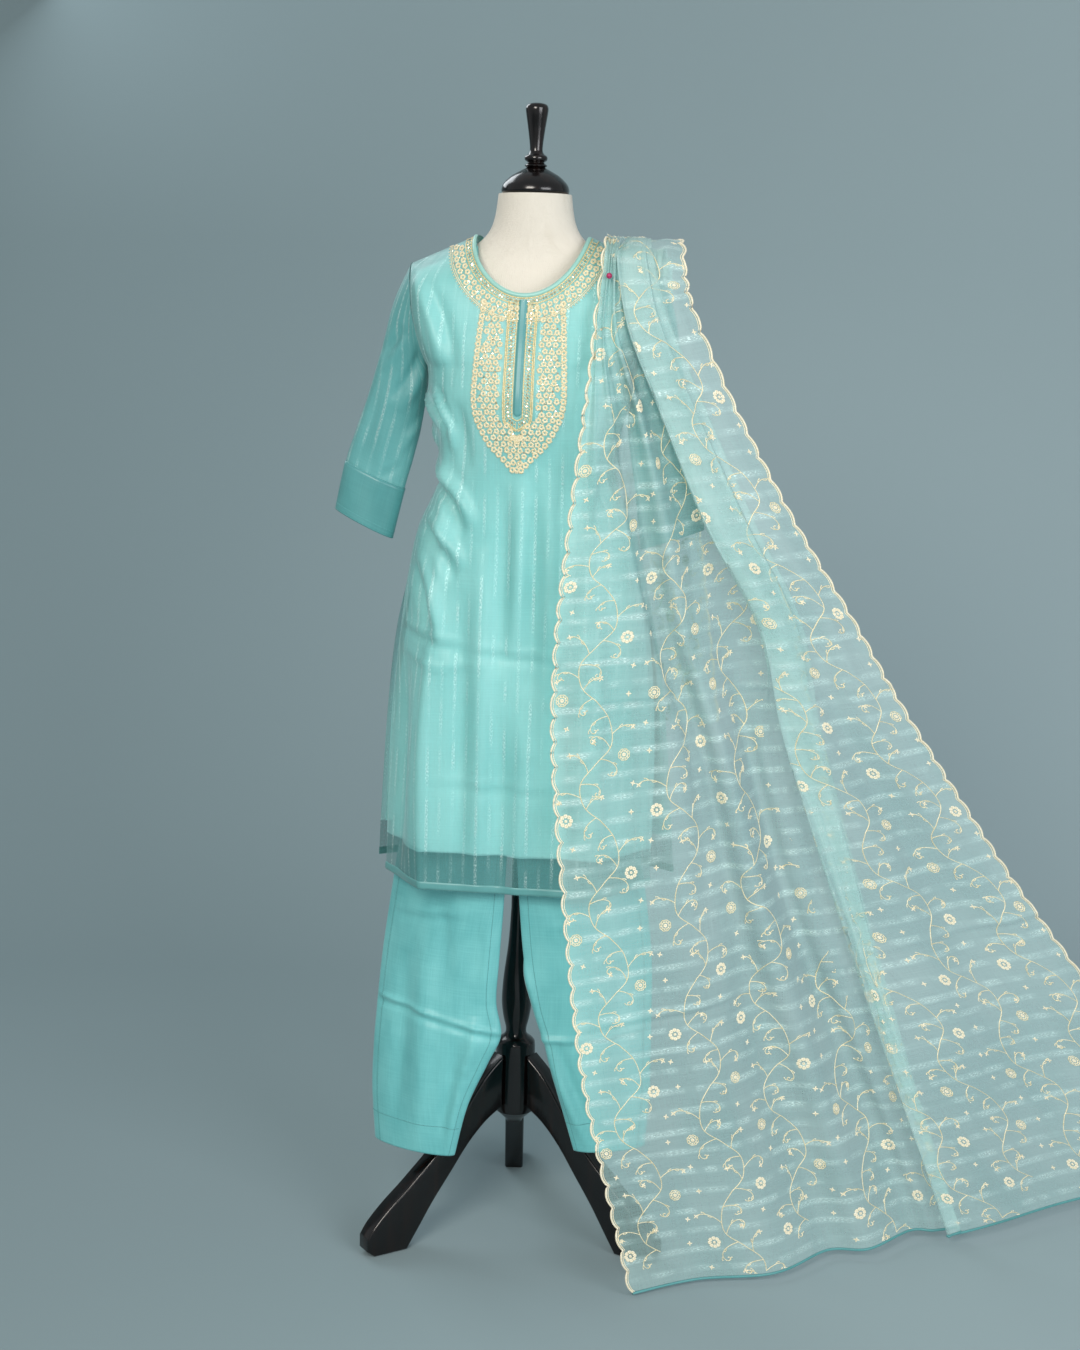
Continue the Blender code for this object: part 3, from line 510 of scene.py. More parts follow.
@dataclass(frozen=True)
class PaintedPaper(Finish):
    """Matt backdrop paper with painted shade: darker to the left and lighter to the right, as the light falls
    off across it, under a slow random mottle.

    Args:
        spread: how far to each side the painted shade's gradient goes on.
    """

    spread: float = 1.7

    def dress(self, nodes: Nodes) -> None:
        """Add the painted shade, darker to the left, with its mottle. The paper shows from the room only, so
        the suit can be seen from behind.
        """
        n = nodes
        place = n.place()
        side = n.add("SeparateXYZ", {0: place}).outputs[0]
        # painted shade and light: the paper darkens to the left and lightens to the right, under a slow
        # random mottle
        drift = n.plus(n.math("SUBTRACT", n.noise(place, 0.5, 2.0), 0.5), 1.2, side)
        n.feed("Base Color", self.shaded(n, n.step(drift, self.spread, -self.spread)))
        behind = n.add("NewGeometry", {}).outputs["Backfacing"]
        n.feed("Alpha", n.math("SUBTRACT", 1.0, behind))


# the kameez's organza carries a painted shade on its band below the lining's hem
KAMEEZ_ORGANZA = StripedOrganza(
    "kameez_tissue_organza", "#9fe0dd", "#86cfcd", 0.36, sheen=0.25, width=0.0046, dash=0.0034, weak=0.60,
    cover=0.58, band_cover=0.10, lined_from=0.622, painted_hem_shade="#568f8e",
)
# painted shade: the sleeves are the kameez's organza drawn darker and nearly opaque, standing in for the
# shade on the hanging sleeves
SHADED_SLEEVE_ORGANZA = replace(
    KAMEEZ_ORGANZA, name="sleeve_organza_painted_shade", colour="#6cb0b0", shade="#53999a", cover=0.95,
    band_cover=0.05,
    lined_from=-1.0,
)
DUPATTA_ORGANZA = StripedOrganza(
    "dupatta_sheer_organza", "#cdeeea", "#aedad6", 0.42, sheen=0.3, run=Run.ACROSS, pitch=0.033, width=0.0085,
    dash=0.0048, weak=0.70, cover=0.34, band=0.0125, band_cover=0.16, tint=0.14, strength=0.60, rumple=2.4,
)
FOLDED_ORGANZA = replace(DUPATTA_ORGANZA, name="dupatta_folded_organza", cover=0.6)
LINING_CREPE = WovenSilk("lining_crepe", "#a8e8e5", "#94dcd9", 0.55, sheen=0.1, slub=0.3)
TROUSER_SILK = WovenSilk("woven_trouser_silk", "#7ccaca", "#5caeb0", 0.42, sheen=0.2)
# the binding's dark teal is the placket's own colour; on the cuffs it is also painted shade
SATIN_BINDING_AND_CUFF_SHADE = WovenSilk("satin_binding_and_cuff_shade", "#5b9fa0", "#498b8c", 0.36, sheen=0.2, rumple=0.0003)
NECK_SATIN = replace(SATIN_BINDING_AND_CUFF_SHADE, name="neck_satin", colour="#9fd2c8", shade="#86bdb2")
HEM_SATIN = replace(SATIN_BINDING_AND_CUFF_SHADE, name="hem_satin", colour="#66a4a3", shade="#549392")
ZARI_THREAD = TwistedThread("zari_thread", "#f8f1d6", "#d6c692", 0.40, metallic=0.2)
CORD_THREAD = TwistedThread("cream_cord_thread", "#faf4e0", "#e2d6b0", 0.55, sheen=0.2)
YOKE_THREAD = replace(CORD_THREAD, name="yoke_cream_thread", colour="#efe6c8", shade="#cfbf8e")
YOKE_GOLD = replace(ZARI_THREAD, name="yoke_zari_thread", colour="#efe3b8", shade="#c2ac68")
SEWING_THREAD = TwistedThread("sewing_thread", "#63a9aa", "#549698", 0.6)
SEQUIN_FOIL = PressedFoil("sequin_foil", "#fbf6e0", "#e2d2a0", 0.14, metallic=0.9)
FORM_JERSEY = CottonJersey("cotton_form_jersey", "#e0dacd", "#d3ccbd", 0.85, sheen=0.15)
BLACK_LACQUER = LacqueredWood("black_lacquered_wood", "#080505", "#1a0e0a", 0.16, coat=0.2)
GLASS_BEAD = PressedFoil("glass_pin_bead", "#8c0f3f", "#c23a72", 0.10)
STUDIO_PAPER_PAINTED_SHADE = PaintedPaper("studio_paper_painted_shade", "#9fb2b6", "#7c8e92", 0.9)


# Meshes, cloths and folds


def linked(item: Item, node: str = "") -> Item:
    """Put an object in the scene on the suit's body, and hide the CAD node that it replaces.

    Args:
        item: the object.
        node: the CAD node that it replaces.

    Returns:
        The same object.
    """
    bpy.context.scene.collection.objects.link(item)
    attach(item, BODY)
    return stands_for(item, node) if node else item


def stands_for(item: Item, node: str) -> Item:
    """Hide the CAD node that an object replaces, and return the object."""
    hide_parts(node)
    return item


def add_mesh(name: str, points: Array, faces: Array, finish: Finish, uvs: Array) -> Item:
    """Add a smooth mesh that rides the suit's body.

    Args:
        name: the piece's name.
        points: its points in the row frame.
        faces: the point numbers of each face, one row each.
        finish: what it is made of.
        uvs: the flat place of each corner of each face.

    Returns:
        The new object.
    """
    mesh = bpy.data.meshes.new(name)
    mesh.from_pydata(points.tolist(), [], faces.tolist())
    mesh.uv_layers.new(name=UV_NAME).data.foreach_set("uv", uvs.reshape(-1))
    mesh.materials.append(finish.material())
    mesh.shade_smooth()
    return linked(bpy.data.objects.new(name, mesh))


def outwards(faces: Array, points: Array, normals: Array) -> Array:
    """Return which way each four-cornered face looks: above 0 along its first point's normal."""
    a, b, c, d = (points[faces[:, k]] for k in range(4))
    return (np.cross(c - a, d - b) * normals[faces[:, 0]]).sum(1)


def cell_corners(rows: int, columns: int) -> Array:
    """Return the point numbers of each cell of a grid, one row each."""
    r, c = np.meshgrid(np.arange(rows - 1), np.arange(columns - 1), indexing="ij")
    here = (r * columns + c).reshape(-1)
    return np.stack([here, here + 1, here + 1 + columns, here + columns], 1)


@dataclass(frozen=True)
class Crease:
    """A soft fold along a short line of the cloth.

    Args:
        start: one end of it.
        end: its other end.
        width: how far its sides reach from its line.
        height: how high it stands. Below 0 it is a trough.
        bow: how far its middle bends aside.
    """

    start: tuple[float, float]
    end: tuple[float, float]
    width: float
    height: float
    bow: float = 0.0

    def lift(self, places: Array) -> Array:
        """Return how far the fold lifts the cloth at each place, fading out past both of its ends."""
        start, end = np.array(self.start), np.array(self.end)
        length = float(np.linalg.norm(end - start))
        way = (end - start) / length
        off = places - start
        along = off @ way
        aside = off[..., 1] * way[0] - off[..., 0] * way[1]
        share = np.clip(along / length, 0, 1)
        aside = aside - self.bow * 4 * share * (1 - share)
        fade = np.sin(math.pi * np.clip((along + self.width) / (length + 2 * self.width), 0, 1)) ** 0.7
        return self.height * fade * np.exp(-((aside / self.width) ** 2))


def creases(*rows: tuple[float, ...]) -> tuple[Crease, ...]:
    """Return creases from rows of numbers: both ends, the width, the height and the bow."""
    return tuple(Crease(row[:2], row[2:4], *row[4:]) for row in rows)


def lift_of(folds: Sequence[Crease], places: Array) -> Array:
    """Return what all the creases together lift the cloth by at each place."""
    return sum((crease.lift(places) for crease in folds), np.zeros(places.shape[:-1]))


def gauss(away: Array) -> Array:
    """Return the height of a soft ridge 1 high, at a distance counted in its own width."""
    return np.exp(-(away**2))


@dataclass
class Cloth:
    """One cloth, as a grid of points that know their place on the flat cut.

    Args:
        points: rows by columns of points.
        flat: the flat place of each, across and along.
        facing: the rough way that its outer face looks. None looks away from the middle of each row.
        ring: whether each row's last point is its first again.
        opened: which cells are left out.
    """

    points: Array
    flat: Array
    facing: tuple[float, float, float] | None = None
    ring: bool = False
    opened: Array | None = None

    def normals(self) -> Array:
        """Return the unit normal of the outer face at each point."""
        down = np.gradient(self.points, axis=0)
        over = np.gradient(self.points, axis=1)
        if self.ring:
            over[:, 0] = over[:, -1] = (self.points[:, 1] - self.points[:, -2]) / 2
        normals = unit(np.cross(down, over))
        looks = np.array(self.facing) if self.facing else self.points - self.points.mean(1, keepdims=True)
        return normals * (1 if (normals * looks).sum() > 0 else -1)

    def pressed(self, lift: Array) -> "Cloth":
        """Return the cloth with each point moved out along its normal."""
        return replace(self, points=self.points + self.normals() * lift[..., None])

    def added(self, name: str, finish: Finish, wall: float = 0.0, turn: float = TURN) -> Item:
        """Add the cloth to the scene.

        Args:
            name: the piece's name.
            finish: what it is made of.
            wall: how thick it is, inwards from its outer face. 0 leaves it a single sheet.
            turn: its frame's turn about the post.

        Returns:
            The new object.
        """
        rows, columns = self.points.shape[:2]
        cells = cell_corners(rows, columns)
        if self.opened is not None:
            cells = cells[~self.opened.reshape(-1)]
        if outwards(cells, self.points.reshape(-1, 3), self.normals().reshape(-1, 3)).sum() < 0:
            cells = cells[:, ::-1]
        row, column = cells // columns, cells % columns
        kept = columns - 1 if self.ring else columns
        points = to_row(self.points[:, :kept].reshape(-1, 3), turn)
        item = add_mesh(name, points, row * kept + column % kept, finish, self.flat.reshape(-1, 2)[cells])
        if wall:
            shell = item.modifiers.new("wall", "SOLIDIFY")
            shell.thickness, shell.offset = wall, -1.0
        return item


def revolved(
    name: str, profile: Sequence[NamedTuple], finish: Finish, sides: int = 64, steps: int = 4
) -> Item:
    """Add a turned solid on the post's axis.

    Args:
        name: the piece's name.
        profile: its radius at each height, from its foot up.
        finish: what it is made of.
        sides: how many sides it has.
        steps: how finely its outline is rounded between the profile's rows.

    Returns:
        The new object.
    """
    outline = through(np.array([(row.radius, row.z) for row in profile]), steps)
    outline = np.concatenate([[(0.0, outline[0, 1])], outline, [(0.0, outline[-1, 1])]])
    angles = np.linspace(0, math.tau, sides + 1)
    radius, height = outline[:, :1], outline[:, 1:] + 0 * angles
    points = np.stack([radius * np.cos(angles), radius * np.sin(angles), height], -1)
    flat = np.stack([radius.max() * angles + 0 * height, height], -1)
    item = Cloth(points, flat, ring=True).added(name, finish, turn=0.0)
    item.data.set_sharp_from_angle(angle=math.radians(50))
    return item


# Embroidery

RIBS = np.array([(-1.0, 0.0), (-0.55, 0.85), (0.55, 0.85), (1.0, 0.0)])  # a thread's half-round section


class Stitching:
    """Small raised work on a cloth: it is drawn on the flat cut and laid on the cloth in one go."""

    def __init__(self) -> None:
        """Start with nothing drawn."""
        self.points: list[Array] = []
        self.faces: list[Array] = []
        self.count = 0

    def put(self, points: Array, faces: Array) -> None:
        """Add pieces of one kind.

        Args:
            points: across, along and height of each point, for each piece.
            faces: the four point numbers of each face, the same for every piece.
        """
        pieces, size = points.shape[:2]
        starts = self.count + np.arange(pieces)[:, None, None] * size
        self.points.append(points.reshape(-1, 3))
        self.faces.append((faces[None] + starts).reshape(-1, 4))
        self.count += pieces * size

    def thread(self, path: Array, radius: float) -> None:
        """Couch a thread of a radius along a path on the flat cut."""
        way = unit(np.gradient(np.asarray(path, float), axis=0))
        side = np.stack([-way[:, 1], way[:, 0]], 1)
        sides = path[:, None, :] + side[:, None, :] * RIBS[None, :, :1] * radius
        heights = np.broadcast_to(RIBS[None, :, 1:] * radius, (*sides.shape[:2], 1))
        self.put(np.concatenate([sides, heights], -1).reshape(1, -1, 3), cell_corners(len(path), len(RIBS)))

    def shapes(self, centres: Array, rings: Sequence[tuple[Array, float]], turns: Array) -> None:
        """Work the same raised shape at many places.

        Args:
            centres: the place of each.
            rings: rings of places about it, closed, and the height of each, from the outside in.
            turns: how far each shape is turned.
        """
        centres = np.asarray(centres, float)
        c, s = np.cos(turns)[:, None], np.sin(turns)[:, None]
        rows = []
        for ring, height in rings:
            over = centres[:, :1] + (ring[None, :, 0] * c - ring[None, :, 1] * s)
            up = centres[:, 1:] + (ring[None, :, 0] * s + ring[None, :, 1] * c)
            rows.append(np.stack([over, up, 0 * over + height], -1))
        self.put(np.stack(rows, 1).reshape(len(centres), -1, 3), cell_corners(len(rows), rows[0].shape[1]))

    def beads(self, centres: Array, radius: float, sides: int = 5) -> None:
        """Sew on round beads or knots."""
        outline = around(np.linspace(0, math.tau, sides + 1)) * radius
        section = ((1.0, 0.0), (0.8, 0.7), (0.0, 1.15))
        rings = [(outline * share, radius * height) for share, height in section]
        self.shapes(centres, rings, np.zeros(len(centres)))

    def flowers(
        self, centres: Array, radius: float, petals: int, hole: float, turns: Array, rise: float
    ) -> None:
        """Work round flowers with rounded petals.

        Args:
            centres: the middle of each.
            radius: a flower's radius.
            petals: how many petals it has.
            hole: its open middle, as a share of its radius.
            turns: how far each is turned.
            rise: how high its work stands.
        """
        angles = np.linspace(0, math.tau, petals * 4 + 1)
        wave = 0.80 + 0.20 * np.abs(np.sin(angles * petals / 2)) ** 0.6
        outline = around(angles) * (radius * wave)[:, None]
        section = ((1.0, 0.0), (0.9, 0.8), (0.7, 1.0), (hole + 0.1, 0.75), (hole, 0.0))
        self.shapes(centres, [(outline * share, rise * height) for share, height in section], turns)

    def leaves(self, feet: Array, ways: Array, size: tuple[float, float], rise: float) -> None:
        """Work pointed leaves in satin stitch.

        Args:
            feet: where each leaf starts.
            ways: the angle that each points at.
            size: a leaf's length and half width.
            rise: how high its midrib stands.
        """
        length, half = size
        t = np.linspace(0, 1, 5)
        swell = np.sin(math.pi * t**0.8) * half
        side = np.concatenate([np.stack([t * length, swell], 1), np.stack([t * length, -swell], 1)[::-1]])
        spine = side * (1, 0)
        rings = ((side, 0.0), (spine + (side - spine) * 0.55, rise), (spine, rise * 0.6))
        self.shapes(feet, rings, ways)

    def whorl(
        self, middle: Array, count: int, start: float, radius: float, size: tuple[float, float]
    ) -> None:
        """Work small leaves that point away from a middle all round.

        Args:
            middle: their middle.
            count: how many there are.
            start: the angle of the first.
            radius: how far from the middle they start.
            size: a leaf's length and half width.
        """
        spokes = np.arange(count) * (math.tau / count) + start
        self.leaves(middle + around(spokes) * radius, spokes, size, 0.0007)

    def sequins(self, centres: Array, radius: float, tilts: Array) -> None:
        """Sew on flat sequins, each tilted a little its own way.

        Args:
            centres: the middle of each.
            radius: a sequin's radius.
            tilts: how its face leans, across and along.
        """
        ring = around(np.linspace(0, math.tau, 9)) * radius
        rows = []
        for share, height in ((1.0, 0.0007), (0.0, 0.0009)):
            places = centres[:, None, :] + ring[None] * share
            lean = (ring[None] * share * tilts[:, None, :]).sum(-1, keepdims=True)
            rows.append(np.concatenate([places, lean + height], -1))
        self.put(np.stack(rows, 1).reshape(len(centres), -1, 3), cell_corners(2, 9))

    def sewn(self, name: str, finish: Finish, surface: Surface, turn: float = TURN) -> None:
        """Lay everything drawn on a cloth and add what shows as one piece.

        Args:
            name: the piece's name.
            finish: the thread.
            surface: gives the cloth's point and normal at a flat place, and whether cloth shows there.
            turn: the cloth's frame's turn about the post.
        """
        drawn, faces = np.concatenate(self.points), np.concatenate(self.faces)
        points, normals, shown = surface(drawn[:, :2])
        laid = points + normals * drawn[:, 2:]
        faces = faces[shown[faces].all(1)]
        over = outwards(faces, laid, normals) < 0
        faces[over] = faces[over, ::-1]
        used, numbers = np.unique(faces, return_inverse=True)
        faces = numbers.reshape(faces.shape)
        add_mesh(name, to_row(laid[used], turn), faces, finish, drawn[used, :2][faces])


def curve(points: Sequence[tuple[float, float]], steps: int = 6) -> Array:
    """Return a smooth path through flat places."""
    return through(np.array(points, float), steps)


def at_lengths(path: Array, run: Array, at: Array) -> Array:
    """Return the flat places at some lengths along a path, given the running length of its points."""
    return np.stack([np.interp(at, run, path[:, k]) for k in range(2)], 1)


def spaced(path: Array, pitch: float, inset: float = 0.0) -> Array:
    """Return places at an even pitch along a path, the first one inset from its start."""
    run = lengths(path)
    return at_lengths(path, run, np.arange(inset, run[-1], pitch))


def beside(path: Array, distance: float) -> Array:
    """Return a path moved to its left by a distance."""
    way = unit(np.gradient(path, axis=0))
    return path + np.stack([-way[:, 1], way[:, 0]], 1) * distance


class Lookup:
    """Finds the cloth's point and normal at any flat place, and whether the cloth shows there."""

    def __init__(self, cloth: Cloth, step: float = 0.004, folded: float = 0.55) -> None:
        """Read the cloth into a table with even steps.

        Args:
            cloth: a cloth whose rows each lie at one place along the cut.
            step: the table's step.
            folded: how far cloth may be pushed together, as a share, before it counts as tucked away.
        """
        along = cloth.flat[:, :, 1].mean(1)
        order = np.argsort(along)
        along, flat = along[order], cloth.flat[order, :, 0]
        values = np.concatenate([cloth.points, cloth.normals()], -1)[order]
        self.step = step
        self.low = np.array([flat.min(), along[0]])
        across = np.arange(flat.min(), flat.max() + step, step)
        table = np.zeros((len(along), len(across), 7))
        for r in range(len(along)):
            line = np.maximum.accumulate(flat[r])
            run = np.interp(across, line, np.linalg.norm(np.gradient(cloth.points[order[r]], axis=0), axis=1))
            pace = np.interp(across, line, np.gradient(line))
            for k in range(6):
                table[r, :, k] = np.interp(across, line, values[r, :, k])
            inside = (across >= line[0]) & (across <= line[-1])
            table[r, :, 6] = inside & (run > folded * pace)
        even = np.arange(along[0], along[-1] + step, step)
        self.table = blended(table, np.interp(even, along, np.arange(len(along))))

    def __call__(self, places: Array) -> tuple[Array, Array, Array]:
        """Return the point, the normal and whether cloth shows, at each flat place."""
        at = (places - self.low) / self.step
        last = np.array(self.table.shape[1::-1]) - 2
        inside = ((at >= 0) & (at <= last + 1)).all(1)
        at = np.clip(at, 0, last + 0.999)
        column, row = at.astype(int).T
        s, t = (at - at.astype(int)).T[..., None]
        found = (
            self.table[row, column] * (1 - s) * (1 - t)
            + self.table[row, column + 1] * s * (1 - t)
            + self.table[row + 1, column] * (1 - s) * t
            + self.table[row + 1, column + 1] * s * t
        )
        return found[:, :3], unit(found[:, 3:6]), inside & (found[:, 6] > 0.7)


def tube(name: str, path: Array, radius: float, finish: Finish, sides: int = 8, turn: float = TURN) -> Item:
    """Add a round cord along a path.

    Args:
        name: the piece's name.
        path: the points of its middle.
        radius: its radius.
        finish: what it is made of.
        sides: how many sides it has.
        turn: the path's frame's turn about the post.

    Returns:
        The new object.
    """
    way = unit(np.gradient(path, axis=0))
    over = unit(np.cross(way, (0.03, 0.05, 1.0)))
    up = np.cross(over, way)
    angles = np.linspace(0, math.tau, sides + 1)
    ring = over[:, None] * np.cos(angles)[:, None] + up[:, None] * np.sin(angles)[:, None]
    points = path[:, None] + ring * radius
    flat = np.stack([np.broadcast_to(angles * radius, points.shape[:2]), lengths(points)], -1)
    return Cloth(points, flat, ring=True).added(name, finish, turn=turn)


# The stand and the form


class Profile(NamedTuple):
    """One height of a turned outline."""

    z: float
    radius: float


class Reach(NamedTuple):
    """One station of a leg, out from the hub."""

    reach: float
    top: float
    underside: float


class Girth(NamedTuple):
    """One ring of the padded form."""

    z: float
    half_width: float
    front: float
    back: float


@dataclass(frozen=True)
class Stand:
    """The turned post on three cabriole legs, the neck cap and the finial.

    Args:
        leg_thickness: how thick the legs' planks are.
        leg_round: the radius of their rounded edges.
        directions: each leg's side and the way it points, in degrees.
        post: the post's outline, from its foot up.
        cap: the neck cap's outline.
        finial: the finial's outline.
        leg: a leg's outline, out from the hub.
    """

    leg_thickness: float = 0.030
    leg_round: float = 0.006
    directions: tuple[tuple[str, float], ...] = (("left", 212.3), ("right", 327.7), ("back", 90.0))
    post: tuple[Profile, ...] = (
        Profile(0.165, 0.0120), Profile(0.170, 0.0150), Profile(0.182, 0.0270), Profile(0.190, 0.0300),
        Profile(0.240, 0.0300), Profile(0.288, 0.0300), Profile(0.298, 0.0270), Profile(0.306, 0.0175),
        Profile(0.316, 0.0160), Profile(0.336, 0.0205), Profile(0.362, 0.0232), Profile(0.400, 0.0210),
        Profile(0.450, 0.0150), Profile(0.500, 0.0120), Profile(0.540, 0.0115), Profile(0.7997, 0.0115),
    )
    cap: tuple[Profile, ...] = (
        Profile(1.5748, 0.0460), Profile(1.5775, 0.0488), Profile(1.5825, 0.0488), Profile(1.590, 0.0455),
        Profile(1.600, 0.0350), Profile(1.6075, 0.0220), Profile(1.612, 0.0135),
    )
    finial: tuple[Profile, ...] = (
        Profile(1.6123, 0.0135), Profile(1.615, 0.0162), Profile(1.619, 0.0120), Profile(1.6225, 0.0160),
        Profile(1.6275, 0.0160), Profile(1.632, 0.0108), Profile(1.640, 0.0092), Profile(1.665, 0.0122),
        Profile(1.688, 0.0158), Profile(1.6955, 0.0162), Profile(1.700, 0.0135), Profile(1.702, 0.0075),
    )
    leg: tuple[Reach, ...] = (
        Reach(0.0304, 0.278, 0.197), Reach(0.060, 0.252, 0.178), Reach(0.090, 0.213, 0.148),
        Reach(0.120, 0.172, 0.108), Reach(0.150, 0.138, 0.068), Reach(0.175, 0.115, 0.030),
        Reach(0.195, 0.097, 0.0), Reach(0.225, 0.072, 0.0), Reach(0.250, 0.047, 0.0),
        Reach(0.262, 0.029, 0.010),
    )

    def build(self) -> None:
        """Add every piece of the stand."""
        pieces = (("stand_post", self.post), ("neck_cap", self.cap), ("finial", self.finial))
        for name, profile in pieces:
            item = stands_for(revolved(f"turned_{name}", profile, BLACK_LACQUER), name)
            LOG.info("%s: %d rows", item.name, len(profile))
        for side, direction in self.directions:
            self.add_leg(side, direction)

    def add_leg(self, side: str, direction: float) -> None:
        """Add one cabriole leg.

        Args:
            side: the leg's side.
            direction: where it points, in degrees about the post.
        """
        over = through(np.array([(s.reach, s.top) for s in self.leg]), 4)
        under = np.array([(s.reach, s.underside) for s in self.leg])
        under = np.concatenate([through(under[:7], 4), under[7:]])
        outline = np.concatenate([over, under[::-1]])
        body = bmesh.new()
        half = self.leg_thickness / 2
        face = body.faces.new([body.verts.new((x, -half, z)) for x, z in outline])
        pushed = bmesh.ops.extrude_face_region(body, geom=[face])
        moved = [v for v in pushed["geom"] if isinstance(v, bmesh.types.BMVert)]
        bmesh.ops.translate(body, verts=moved, vec=(0, half * 2, 0))
        bmesh.ops.recalc_face_normals(body, faces=body.faces)
        sharp = math.radians(60)
        sides = [e for e in body.edges if e.verts[0].co.y == e.verts[1].co.y]
        rims = [e for e in sides if e.calc_face_angle(0) > sharp]
        bmesh.ops.bevel(
            body, geom=rims, offset=self.leg_round, segments=4, affect="EDGES", profile=0.5,
            clamp_overlap=True,
        )
        turn = Matrix.Rotation(math.radians(direction), 4, "Z")
        body.transform(Matrix.Translation((AXIS_X, AXIS_Y, 0)) @ turn)
        mesh = bpy.data.meshes.new(f"turned_leg_{side}")
        body.to_mesh(mesh)
        body.free()
        mesh.materials.append(BLACK_LACQUER.material())
        mesh.shade_smooth()
        mesh.set_sharp_from_angle(angle=math.radians(35))
        linked(bpy.data.objects.new(mesh.name, mesh), f"stand_leg_{side}")


@dataclass(frozen=True)
class DressForm:
    """The padded form with its neck, covered in cotton jersey.

    Args:
        rings: its rings, from its flat base up.
        sides: how many sides it is drawn with.
        flat_radius: the radius that its cover is laid flat at.
    """

    rings: tuple[Girth, ...] = (
        Girth(0.800, 0.122, 0.062, 0.068), Girth(0.830, 0.130, 0.068, 0.075),
        Girth(0.950, 0.136, 0.070, 0.082), Girth(1.060, 0.132, 0.076, 0.076),
        Girth(1.130, 0.116, 0.084, 0.064), Girth(1.180, 0.114, 0.092, 0.062),
        Girth(1.235, 0.117, 0.104, 0.066), Girth(1.290, 0.128, 0.106, 0.072),
        Girth(1.340, 0.136, 0.093, 0.074), Girth(1.390, 0.146, 0.078, 0.070),
        Girth(1.430, 0.154, 0.063, 0.058), Girth(1.455, 0.155, 0.055, 0.046),
        Girth(1.470, 0.142, 0.050, 0.041), Girth(1.484, 0.118, 0.047, 0.041),
        Girth(1.496, 0.095, 0.046, 0.043), Girth(1.508, 0.077, 0.046, 0.048),
        Girth(1.524, 0.064, 0.047, 0.053), Girth(1.545, 0.057, 0.048, 0.054),
        Girth(1.5745, 0.053, 0.0495, 0.0525),
    )
    sides: int = 72
    flat_radius: float = 0.12

    def build(self) -> None:
        """Add the form."""
        rows = through(np.array(self.rings), 5)
        angles = np.linspace(0, math.tau, self.sides + 1)
        z, half, front, back = (rows[:, k, None] for k in range(4))
        depth = np.where(np.sin(angles) > 0, back, front)
        points = np.stack([half * np.cos(angles), depth * np.sin(angles), z + 0 * angles], -1)
        foot, top = points[:1].copy(), points[-1:].copy()
        foot[..., :2] = top[..., :2] = 0
        points = np.concatenate([foot, points, top])
        flat = np.stack([self.flat_radius * angles + 0 * points[..., 0], points[..., 2]], -1)
        form = Cloth(points, flat, ring=True).added("padded_form", FORM_JERSEY)
        stands_for(form, "form_body")
        form.data.set_sharp_from_angle(angle=math.radians(60))
        LOG.info("form: %d points", len(form.data.vertices))


# The kameez


class Level(NamedTuple):
    """One height of the kameez: its half widths and depths, and how flat its front is pressed."""

    z: float
    half_width: float
    back_width: float
    front: float
    back: float
    flat: float


